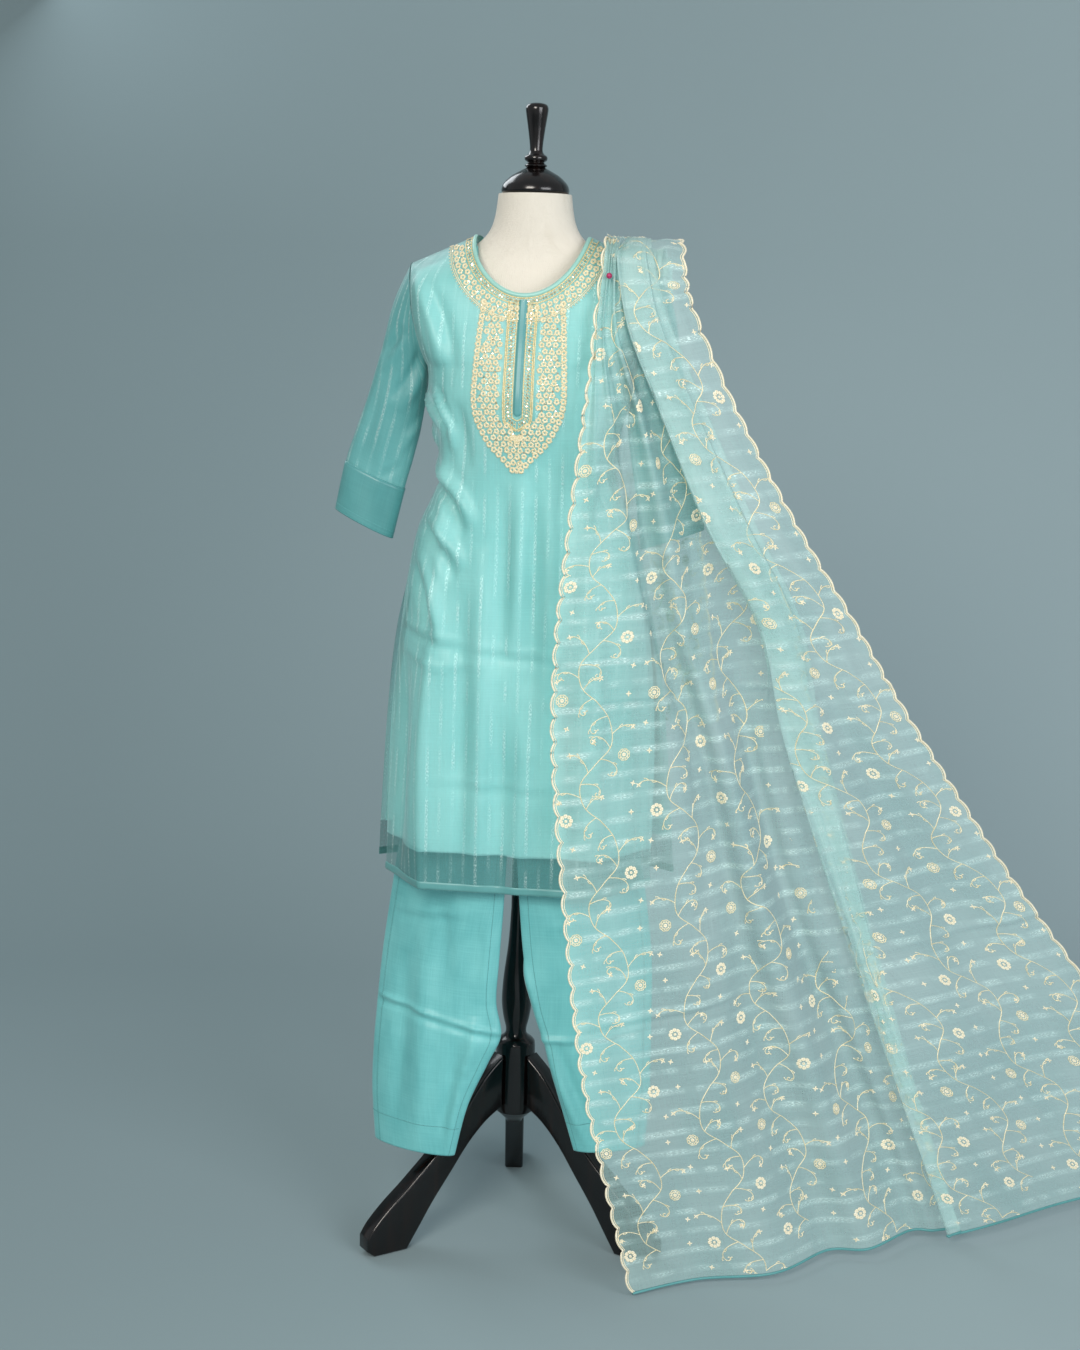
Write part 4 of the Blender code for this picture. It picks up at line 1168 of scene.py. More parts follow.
@dataclass(frozen=True)
class Kameez:
    """The straight shirt, with its lining, its bindings and its embroidered neck.

    Args:
        neck_half_width: half the width of the neckline.
        neck_point: the height of the neckline's ends, on the shoulder.
        front_neck_drop: how deep the neckline is in front.
        back_neck_drop: how deep it is behind.
        shoulder_slope: how fast the shoulders fall.
        shoulder_roll: how far below the shoulder line the cloth reaches its full depth.
        shoulder_half_width: half the width across the shoulders.
        armhole_top: the height of the armholes' tops.
        armhole_bottom: the height of their feet.
        armhole_half_depth: half their depth from front to back.
        slit_top: the height of its side slits' tops.
        hem: the height of its hem.
        lining_hem: the height of its lining's hem.
        lining_inset: how far inside it the lining lies.
        lining_drop: how far under its top edge the lining's lies.
        crease_at: where its sides are pressed, as a share of its half width.
        roundness: the power of its oval sections.
        hem_band: the depth of its hem.
        slit_depths: how far each panel's sides stand from the middle plane at the hem.
        yoke_foot: the height down to which its rows are close.
        fullness: how much deeper than drawn its folds are.
        placket: the heights of the placket's ends.
        placket_half: half its width.
        levels: its widths and depths.
        front_folds: its front's creases.
        back_folds: its back's creases.
    """

    neck_half_width: float = 0.080
    neck_point: float = 1.517
    front_neck_drop: float = 0.0835
    back_neck_drop: float = 0.026
    shoulder_slope: float = 0.43
    shoulder_roll: float = 0.060
    shoulder_half_width: float = 0.178
    armhole_top: float = 1.475
    armhole_bottom: float = 1.330
    armhole_half_depth: float = 0.045
    slit_top: float = 0.98
    hem: float = 0.565
    lining_hem: float = 0.622
    lining_inset: float = 0.0080
    lining_drop: float = 0.014
    crease_at: float = 0.65
    roundness: float = 2.4
    hem_band: float = 0.012
    slit_depths: tuple[float, float] = (0.030, 0.050)
    yoke_foot: float = 1.300
    fullness: float = 2.4
    placket: tuple[float, float] = (1.4235, 1.2618)
    placket_half: float = 0.0055
    levels: tuple[Level, ...] = (
        Level(1.560, 0.178, 0.178, 0.052, 0.050, 0.0), Level(1.517, 0.178, 0.178, 0.062, 0.056, 0.0),
        Level(1.475, 0.178, 0.178, 0.073, 0.066, 0.0), Level(1.440, 0.174, 0.174, 0.085, 0.078, 0.0),
        Level(1.400, 0.169, 0.169, 0.096, 0.088, 0.0), Level(1.360, 0.160, 0.160, 0.109, 0.092, 0.0),
        Level(1.320, 0.150, 0.150, 0.119, 0.091, 0.0), Level(1.285, 0.148, 0.148, 0.125, 0.089, 0.0),
        Level(1.235, 0.135, 0.135, 0.124, 0.085, 0.0), Level(1.160, 0.133, 0.133, 0.114, 0.082, 0.0),
        Level(1.090, 0.162, 0.162, 0.114, 0.092, 0.0), Level(1.010, 0.178, 0.180, 0.119, 0.103, 0.0),
        Level(0.930, 0.189, 0.198, 0.122, 0.109, 0.5), Level(0.820, 0.199, 0.212, 0.124, 0.114, 1.0),
        Level(0.700, 0.202, 0.222, 0.126, 0.113, 1.0), Level(0.565, 0.202, 0.231, 0.128, 0.110, 1.0),
        Level(0.500, 0.202, 0.233, 0.128, 0.110, 1.0),
    )
    front_folds: tuple[Crease, ...] = creases(
        # packing creases across the skirt, each a ridge over a trough
        (-0.180, 0.952, -0.070, 0.931, 0.0045, 0.0020), (-0.180, 0.942, -0.070, 0.921, 0.0070, -0.0018),
        (-0.060, 0.929, 0.066, 0.918, 0.0045, 0.0016), (-0.060, 0.920, 0.066, 0.909, 0.0070, -0.0014),
        (-0.174, 0.912, -0.110, 0.895, 0.0050, 0.0018), (-0.115, 0.896, -0.044, 0.903, 0.0050, 0.0014),
        (-0.120, 0.729, 0.076, 0.725, 0.0050, 0.0011), (-0.120, 0.720, 0.076, 0.716, 0.0080, -0.0010),
        # the pressed edges of the skirt's front
        (-0.1290, 1.010, -0.1313, 0.560, 0.0034, 0.0012), (0.1290, 0.990, 0.1313, 0.560, 0.0034, 0.0011),
        # pulls beside the bust
        (-0.152, 1.290, -0.121, 1.240, 0.0042, 0.0046, 0.003),
        (-0.142, 1.288, -0.111, 1.230, 0.0040, -0.0044, 0.003),
        (-0.133, 1.294, -0.104, 1.246, 0.0036, 0.0040, 0.003),
        (-0.124, 1.296, -0.094, 1.240, 0.0038, -0.0034, 0.003),
        (-0.112, 1.282, -0.096, 1.212, 0.0052, 0.0036, 0.004),
        (-0.148, 1.262, -0.128, 1.214, 0.0044, 0.0038, 0.002),
        (-0.090, 1.270, -0.076, 1.190, 0.0100, -0.0030, 0.003),
        # folds at the waist
        (-0.128, 1.188, -0.066, 1.108, 0.0090, 0.0050, 0.006),
        (-0.131, 1.168, -0.080, 1.094, 0.0080, -0.0050, 0.004),
        (-0.134, 1.112, -0.080, 1.048, 0.0080, 0.0045, 0.004),
        (-0.140, 1.094, -0.092, 1.030, 0.0080, -0.0040, 0.003),
        (-0.146, 1.056, -0.108, 0.930, 0.0100, 0.0040, 0.005),
        (-0.155, 1.036, -0.126, 0.936, 0.0090, -0.0034, 0.003),
        # long soft folds down the skirt
        (0.005, 1.190, 0.003, 0.935, 0.0140, 0.0040, 0.003),
        (-0.022, 1.150, -0.020, 0.900, 0.0130, -0.0034, 0.004),
        (-0.050, 1.060, -0.047, 0.575, 0.0150, 0.0042, 0.004),
        (-0.080, 1.000, -0.074, 0.610, 0.0140, -0.0038, 0.004),
        (0.041, 1.176, 0.051, 0.940, 0.0130, 0.0042, 0.004),
        (0.024, 1.120, 0.028, 0.790, 0.0120, -0.0034, 0.003),
        (-0.111, 1.226, -0.119, 0.960, 0.0110, 0.0034, 0.004),
        (0.020, 0.860, 0.014, 0.570, 0.0160, 0.0038, 0.004),
        (-0.018, 0.820, -0.014, 0.570, 0.0150, -0.0034, 0.003),
        (-0.146, 0.880, -0.150, 0.570, 0.0150, 0.0036, 0.004),
        (-0.172, 0.900, -0.180, 0.575, 0.0100, -0.0036, 0.003),
        (0.090, 1.130, 0.112, 0.640, 0.0170, 0.0040, 0.005),
        (0.066, 0.900, 0.074, 0.580, 0.0150, -0.0036, 0.004),
        (0.150, 1.020, 0.165, 0.600, 0.0150, 0.0038, 0.004),
        (0.126, 1.250, 0.112, 1.110, 0.0090, -0.0040, 0.004),
        # drags from the shoulders
        (-0.160, 1.445, -0.120, 1.335, 0.0110, 0.0030, 0.006),
        (-0.140, 1.440, -0.098, 1.330, 0.0110, -0.0026, 0.006),
        (0.150, 1.400, 0.110, 1.300, 0.0110, 0.0030, -0.006),
    )
    back_folds: tuple[Crease, ...] = creases(
        (-0.180, 0.948, -0.020, 0.930, 0.0050, 0.0019), (-0.180, 0.938, -0.020, 0.920, 0.0070, -0.0017),
        (-0.010, 0.928, 0.150, 0.934, 0.0050, 0.0015), (-0.110, 0.727, 0.130, 0.731, 0.0050, 0.0012),
        (-0.120, 1.180, -0.060, 1.100, 0.0100, 0.0046, 0.005),
        (0.122, 1.172, 0.066, 1.086, 0.0100, 0.0044, -0.005),
        (0.128, 1.120, 0.084, 1.052, 0.0080, -0.0040, -0.004),
        (-0.070, 1.080, -0.080, 0.590, 0.0170, 0.0044, 0.004),
        (-0.036, 1.130, -0.032, 0.680, 0.0140, -0.0036, 0.004),
        (0.004, 1.180, 0.000, 0.575, 0.0160, 0.0040, 0.003),
        (0.040, 1.090, 0.046, 0.620, 0.0150, -0.0038, 0.004),
        (0.078, 1.100, 0.090, 0.575, 0.0170, 0.0046, 0.005),
        (0.140, 0.990, 0.160, 0.590, 0.0160, 0.0040, 0.004),
        (-0.136, 1.000, -0.158, 0.580, 0.0150, 0.0042, 0.004),
        (-0.110, 0.940, -0.118, 0.600, 0.0130, -0.0034, 0.003),
        (-0.130, 1.420, -0.060, 1.340, 0.0120, 0.0030, 0.006),
        (0.130, 1.418, 0.062, 1.346, 0.0120, 0.0028, -0.006),
        (-0.060, 1.290, 0.060, 1.286, 0.0120, -0.0026, 0.010),
    )

    def shoulder(self, x: Array) -> Array:
        """Return the height of the shoulder line this far from the middle."""
        return self.neck_point - (np.abs(x) - self.neck_half_width) * self.shoulder_slope

    def top_edge(self, x: Array, side: Facing) -> Array:
        """Return the height of a panel's top edge: neckline, then shoulder seam."""
        drop = self.front_neck_drop if side is Facing.FRONT else self.back_neck_drop
        share = np.clip(np.abs(x) / self.neck_half_width, 0, 1)
        neck = self.neck_point - drop * (1 - share**2) ** 0.6
        return np.where(np.abs(x) >= self.neck_half_width, self.shoulder(x), neck)

    def armhole(self, z: Array) -> Array:
        """Return how far the armhole's edge stands from the middle plane at this height."""
        middle = (self.armhole_top + self.armhole_bottom) / 2
        half = (self.armhole_top - self.armhole_bottom) / 2
        return self.armhole_half_depth * np.sqrt(np.maximum(1 - ((z - middle) / half) ** 2, 0))

    def half_width(self, side: Facing, z: Array) -> Array:
        """Return a panel's half width at each height."""
        return read_table(self.levels, "half_width" if side is Facing.FRONT else "back_width", z)

    def skin(self, side: Facing, u: Array, z: Array, inset: float = 0.0) -> Array:
        """Return points of a panel before it is creased.

        Args:
            side: the panel.
            u: places across it, from -1 to 1.
            z: their heights.
            inset: how far inside the outer face the points lie.

        Returns:
            The points.
        """
        half = self.half_width(side, z) - inset
        full = read_table(self.levels, "front" if side is Facing.FRONT else "back", z) - inset
        flat = read_table(self.levels, "flat", z)
        slit = np.maximum(self.slit_top - z, 0) / (self.slit_top - self.hem)
        slit = slit * self.slit_depths[0 if side is Facing.FRONT else 1]
        x = u * half
        fallen = np.clip((self.shoulder(x) - inset - z) / self.shoulder_roll, 0, 1)
        rolled = full * np.sqrt(1 - (1 - fallen) ** 2)
        edge = np.minimum(np.maximum(self.armhole(z), slit), rolled)
        oval = np.maximum(1 - np.abs(u) ** self.roundness, 0) ** (1 / self.roundness)
        pressed = np.minimum((1 - np.abs(u)) / (1 - self.crease_at), 1)
        y = edge + (rolled - edge) * (oval + (pressed - oval) * flat)
        return np.stack([x, side.value * np.maximum(y, 0.0003), z], -1)

    def folds(self, side: Facing) -> tuple[Crease, ...]:
        """Return a panel's creases."""
        return self.front_folds if side is Facing.FRONT else self.back_folds

    def surface(self, side: Facing) -> Surface:
        """Return the creased panel as a surface over across and height, for work laid on it."""

        def at(places: Array) -> tuple[Array, Array, Array]:
            """Return the point, the normal and whether cloth shows, at each place."""

            def skin(x: Array, z: Array) -> Array:
                """Return the uncreased points."""
                return self.skin(side, x / self.half_width(side, z), z)

            x, z = places.T
            step = 0.0015
            over = skin(x + step, z) - skin(x - step, z)
            up = skin(x, z + step) - skin(x, z - step)
            normals = unit(np.cross(over, up))
            normals *= np.sign(normals[:, 1:2] * side.value + TINY)
            lift = lift_of(self.folds(side), places) * self.fullness + 0.0003
            points = skin(x, z) + normals * lift[:, None]
            inside = (np.abs(x) < self.half_width(side, z) - 0.001) & (z < self.shoulder(x) + 0.001)
            return points, normals, inside

        return at

    def panel(self, side: Facing, hem: float, inset: float = 0.0, drop: float = 0.0) -> Cloth:
        """Return one panel.

        Args:
            side: the panel.
            hem: the height of its hem.
            inset: how far inside the outer face it lies.
            drop: how far its top edge lies under the kameez's.

        Returns:
            The panel, creased.
        """
        spread = np.linspace(-1, 1, 109)
        u = np.sin(spread * math.pi / 2) * 0.55 + spread * 0.45
        u[np.abs(u - self.crease_at).argmin()] = self.crease_at
        u[np.abs(u + self.crease_at).argmin()] = -self.crease_at
        top = self.top_edge(u * self.shoulder_half_width, side) - drop
        shares = np.linspace(0, 1, 44)[:, None] ** 1.15
        heights = np.concatenate([
            top + (self.yoke_foot - top) * shares,
            np.linspace(self.yoke_foot, hem, 108)[1:, None] + 0 * u,
        ])
        points = self.skin(side, np.broadcast_to(u, heights.shape), heights, inset)
        run = lengths(points * (1, 1, 0), 1)
        across = run - run[:, len(u) // 2, None]
        cloth = Cloth(points, np.stack([across, heights], -1), facing=(0, side.value, 0))
        calm = 1.0 if not inset else 0.7
        return cloth.pressed(lift_of(self.folds(side), points[..., ::2]) * self.fullness * calm)

    def build(self) -> None:
        """Add the kameez's panels, lining, bindings and embroidery."""
        for side in Facing:
            name = side.name.lower()
            body = self.panel(side, self.hem).added(f"kameez_panel_{name}", KAMEEZ_ORGANZA)
            stands_for(body, f"kameez_{name}")
            lining = self.panel(side, self.lining_hem, self.lining_inset, self.lining_drop)
            inside = lining.added(f"lining_panel_{name}", LINING_CREPE)
            stands_for(inside, f"lining_{name}")
            self.add_hem_band(side, name)
            self.add_binding(side, name)
            self.add_neck_work(side, name)
            LOG.info("kameez %s: panel, lining, bands and neck work", name)
        self.add_placket()
        Yoke(self).build()

    def strip(self, name: str, node: str, side: Facing, rows: Sequence[Array], section: Sequence[float],
              finish: Finish) -> Item:
        """Add a rounded strip that lies on a panel.

        Args:
            name: its name.
            node: the CAD node that it replaces.
            side: the panel.
            rows: lines of places on the panel, from one side of the strip to the other.
            section: how high each line stands off the panel.
            finish: what it is made of.

        Returns:
            The new object.
        """
        surface = self.surface(side)
        laid = []
        for row, height in zip(rows, section):
            points, normals, _ = surface(row)
            laid.append(points + normals * height)
        points = np.stack(laid)
        flat = np.stack([lengths(points, 0), lengths(points, 1)], -1)
        item = Cloth(points, flat, facing=(0, side.value, 0.001)).added(name, finish)
        return stands_for(item, node)

    def add_hem_band(self, side: Facing, name: str) -> None:
        """Add a panel's turned-up hem, a doubled and lightly rounded band."""
        spread = np.linspace(-0.9985, 0.9985, 120)
        foot = self.hem + 0.0006
        rows = []
        for share in (1.0, 0.94, 0.7, 0.3, 0.06, 0.0):
            z = np.full(len(spread), foot + (self.hem + self.hem_band - foot) * share)
            rows.append(np.stack([spread * self.half_width(side, z), z], 1))
        section = (0.0003, 0.0012, 0.0014, 0.0014, 0.0012, 0.0003)
        band = self.strip(f"hem_band_{name}", f"kameez_hem_{name}", side, rows, section, HEM_SATIN)

    def neckline(self, side: Facing, offset: float, steps: int = 90) -> Array:
        """Return the neckline moved outwards by a distance, stopped at the shoulder seams."""
        x = -self.neck_half_width * np.cos(np.linspace(0, math.pi, steps * 4))
        end = self.neck_half_width - 0.00001
        line = np.stack([x, self.top_edge(np.clip(x, -end, end), side)], 1)
        moved = beside(spaced(line, lengths(line)[-1] / steps), -offset)
        moved[:, 1] = np.minimum(moved[:, 1], self.shoulder(moved[:, 0]) - 0.0018)
        return moved

    def add_binding(self, side: Facing, name: str) -> None:
        """Add the rolled binding round the neckline."""
        rows = [self.neckline(side, offset) for offset in (0.0003, 0.0010, 0.0025, 0.0042, 0.0056, 0.0061)]
        section = (0.0002, 0.0013, 0.0020, 0.0019, 0.0011, 0.0001)
        binding = self.strip(f"neck_piping_{name}", f"neck_binding_{name}", side, rows, section, NECK_SATIN)

    def add_placket(self) -> None:
        """Add the narrow satin placket down the centre front, rounded at its foot."""
        top, bottom = self.placket
        z = top + (bottom - top) * np.linspace(0, 1, 80)
        foot = np.clip((z - bottom) / self.placket_half, 0, 1)
        half = self.placket_half * np.sqrt(1 - (1 - foot) ** 2) + 0.0002
        rows = [np.stack([half * share, z], 1) for share in (-1.0, -0.85, -0.4, 0.4, 0.85, 1.0)]
        section = (0.0003, 0.0014, 0.0017, 0.0017, 0.0014, 0.0003)
        strip = self.strip("placket_strip", "placket", Facing.FRONT, rows, section, SATIN_BINDING_AND_CUFF_SHADE)

    def add_neck_work(self, side: Facing, name: str) -> None:
        """Add the cords and the beaded ladder round the neckline."""
        work = Handwork(np.random.default_rng(5))
        for offset in (0.0072, 0.0160):
            work.gold.thread(self.neckline(side, offset, 150), 0.0009)
        work.ladder(self.neckline(side, 0.0088, 150), self.neckline(side, 0.0144, 150))
        surface = self.surface(side)
        work.gold.sewn(f"neck_cords_{name}", YOKE_GOLD, surface)
        work.beads.sewn(f"neck_beads_{name}", YOKE_THREAD, surface)
        work.foil.sewn(f"neck_sequins_{name}", SEQUIN_FOIL, surface)


@dataclass
class Handwork:
    """The stitching of one piece of work, one part for each thread.

    Args:
        rng: the source of its small unevenness.
        gold: takes the cords.
        cream: takes the flowers and leaves.
        beads: takes the beads and knots.
        foil: takes the sequins.
    """

    rng: np.random.Generator
    gold: Stitching = field(default_factory=Stitching)
    cream: Stitching = field(default_factory=Stitching)
    beads: Stitching = field(default_factory=Stitching)
    foil: Stitching = field(default_factory=Stitching)

    def trim(self, places: Array, shiny: Array, sequin: float, lean: float, bead: float) -> None:
        """Sew a sequin on each shiny place, leaning its own way, and a bead on each of the others."""
        self.foil.sequins(places[shiny], sequin, self.rng.normal(0, lean, (shiny.sum(), 2)))
        self.beads.beads(places[~shiny], bead)

    def ladder(self, inner: Array, outer: Array) -> None:
        """Work a ladder border: bars between two lines, with a bead or a sequin in each gap."""
        run, other = lengths(inner), lengths(outer)
        at = np.arange(0.001, run[-1] - 0.001, 0.0042)
        low, high = at_lengths(inner, run, at), at_lengths(outer, other, at / run[-1] * other[-1])
        for start, end in zip(low, high):
            self.gold.thread(np.linspace(start, end, 3), 0.00045)
        self.beads.beads(low, 0.0008)
        self.beads.beads(high, 0.0008)
        middles = (low[1:] + high[1:] + low[:-1] + high[:-1]) / 4
        self.trim(middles, np.arange(len(middles)) % 3 != 1, 0.0016, 0.35, 0.0013)

    def flowers(self, places: Array, radius: float, hole: float, rise: float) -> None:
        """Work five-petalled flowers, each turned its own way."""
        self.cream.flowers(places, radius, 5, hole, self.rng.uniform(0, 6.28, len(places)), rise)


@dataclass(frozen=True)
class Yoke:
    """The embroidered yoke: placket border, field of flowers with leaves, scalloped outline.

    Args:
        kameez: the kameez it is worked on.
        pitch: from one flower to the next.
        flower: a flower's radius.
        hole: its open middle, as a share of that.
        border_half: half the width of the border beside the placket.
        border_foot: the heights at which it starts to narrow and would meet.
        neck_band: how deep the rows round the neck are.
        tip: the height of the yoke's lowest point.
        right_edge: the outline's places on one side, from the neckline down to the tip.
    """

    kameez: Kameez
    pitch: float = 0.0099
    flower: float = 0.0045
    hole: float = 0.28
    border_half: float = 0.0215
    border_foot: tuple[float, float] = (1.262, 1.236)
    neck_band: float = 0.040
    tip: float = 1.176
    right_edge: tuple[tuple[float, float], ...] = (
        (0.0570, 1.452), (0.0560, 1.423), (0.0600, 1.380), (0.0630, 1.330), (0.0645, 1.288), (0.0610, 1.262),
        (0.0550, 1.248), (0.0470, 1.232), (0.0380, 1.219), (0.0280, 1.209), (0.0180, 1.199), (0.0080, 1.188),
        (0.0, 1.179),
    )

    def build(self) -> None:
        """Add the yoke's work, one piece for each thread."""
        surface = self.kameez.surface(Facing.FRONT)
        work = Handwork(np.random.default_rng(11))
        self.border(work)
        self.field(work)
        self.neck_rows(work)
        self.outline(work)
        parts = (
            ("gold_cords", work.gold, YOKE_GOLD), ("flowers", work.cream, YOKE_THREAD),
            ("beads", work.beads, YOKE_THREAD), ("sequins", work.foil, SEQUIN_FOIL),
        )
        for name, part, finish in parts:
            part.sewn(f"yoke_{name}", finish, surface)
            LOG.info("yoke %s: %d points drawn", name, part.count)

    def border(self, work: Handwork) -> None:
        """Work the cords and the ladder beside the placket, meeting in a point under it."""
        inner, outer, low, high = (
            curve(((side, 1.4215), (side, 1.350), (side, start), *foot), 24)
            for side, start, foot in (
                (0.0076, 1.268, ((0.0054, 1.2588), (0.0, 1.2555))),
                (0.0186, 1.264, ((0.0120, 1.2510), (0.0, 1.2425))),
                (0.0095, 1.266, ((0.0066, 1.2560), (0.0, 1.2525))),
                (0.0170, 1.264, ((0.0110, 1.2522), (0.0, 1.2448))),
            )
        )
        for flip in (-1, 1):
            sign = np.array((flip, 1.0))
            for line in (inner, outer, beside(outer, 0.0022)):
                work.gold.thread(line * sign, 0.0009)
            work.ladder(low * sign, high * sign)

    def inside(self, places: Array, margin: float) -> Array:
        """Return whether each place lies in the yoke's field, clear of the border and the neck rows."""
        x, z = np.abs(places[:, 0]), places[:, 1]
        edge = curve(self.right_edge, 6)[::-1]
        half = np.interp(z, edge[:, 1], edge[:, 0])
        narrows, meets = self.border_foot
        border = np.where(z > narrows, self.border_half, self.border_half * (z - meets) / (narrows - meets))
        end = self.kameez.neck_half_width - 0.0001
        neck = self.kameez.top_edge(np.clip(places[:, 0], -end, end), Facing.FRONT) - self.neck_band
        return (x < half - margin) & (x > border + margin * 0.7) & (z < neck) & (z > self.tip)

    def field(self, work: Handwork) -> None:
        """Fill the yoke with staggered flowers, with small leaves between them."""
        places = []
        for row, z in enumerate(np.arange(1.170, 1.450, self.pitch * 0.88)):
            shift = self.pitch / 2 * (row % 2)
            places += [(x + shift, z) for x in np.arange(-8, 8) * self.pitch]
        places = np.array(places) + work.rng.normal(0, 0.0004, (len(places), 2))
        flowers = places[self.inside(places, self.flower * 1.35)]
        work.flowers(flowers, self.flower, self.hole, 0.0011)
        gaps = flowers + (0.0, self.pitch * 0.56)
        gaps = gaps[self.inside(gaps, 0.002)]
        shiny = work.rng.random(len(gaps)) < 0.30
        work.trim(gaps, shiny, 0.0014, 0.3, 0.0007)
        feet = gaps[~shiny]
        ways = work.rng.uniform(0, 6.28, len(feet))
        for turn in (0.0, 2.2):
            work.cream.leaves(feet, ways + turn, (0.0038, 0.0009), 0.0006)
        # a palmette of leaves fans out under the placket's point
        foot = np.array((0.0, 1.2375))
        fan = np.radians((-152, -128, -106, -90, -74, -52, -28))
        work.cream.leaves(foot + 0.002 * around(fan), fan, (0.0135, 0.0021), 0.0012)
        work.beads.beads(foot + 0.0185 * around(fan), 0.0011)

    def neck_rows(self, work: Handwork) -> None:
        """Work two rows of flowers round the neckline, inside one more cord."""

        def line(offset: float) -> Array:
            """Return the neckline moved outwards."""
            return self.kameez.neckline(Facing.FRONT, offset, 200)

        pitch = self.pitch * 0.95
        for offset, shift in ((0.0225, 0.002), (0.0318, 0.007)):
            flowers = spaced(line(offset), pitch, shift)
            flowers = flowers[flowers[:, 1] < self.kameez.shoulder(flowers[:, 0]) - 0.003]
            work.flowers(flowers, self.flower, self.hole, 0.0011)
            gaps = spaced(line(offset + 0.0048), pitch, shift + 0.005)
            work.trim(gaps, np.arange(len(gaps)) % 2 == 0, 0.0013, 0.3, 0.0008)
        for offset in (0.0378, 0.0402):
            work.cream.thread(line(offset), 0.0007)
        work.beads.beads(spaced(line(0.0425), 0.0046, 0.002), 0.0010)

    def outline(self, work: Handwork) -> None:
        """Edge the yoke with a row of flowers, leaves between them and a knot outside each gap."""
        pitch = self.pitch * 0.98
        for flip in (-1, 1):
            edge = curve(self.right_edge[1:], 30) * (flip, 1.0)
            work.flowers(spaced(edge, pitch, 0.004), self.flower * 1.08, self.hole, 0.0012)
            work.beads.beads(spaced(beside(edge, flip * 0.0030), pitch, 0.009), 0.0011)
            feet = spaced(beside(edge, -flip * 0.0046), pitch, 0.009)
            ways = work.rng.uniform(-0.5, 0.5, len(feet)) + (0.0 if flip > 0 else math.pi)
            work.cream.leaves(feet, ways, (0.0046, 0.0011), 0.0007)


# The sleeves


class SleeveRing(NamedTuple):
    """One ring of a sleeve: its outer and its underarm edge, away from the middle of the body."""

    outer_x: float
    outer_z: float
    inner_x: float
    inner_z: float
    half_depth: float


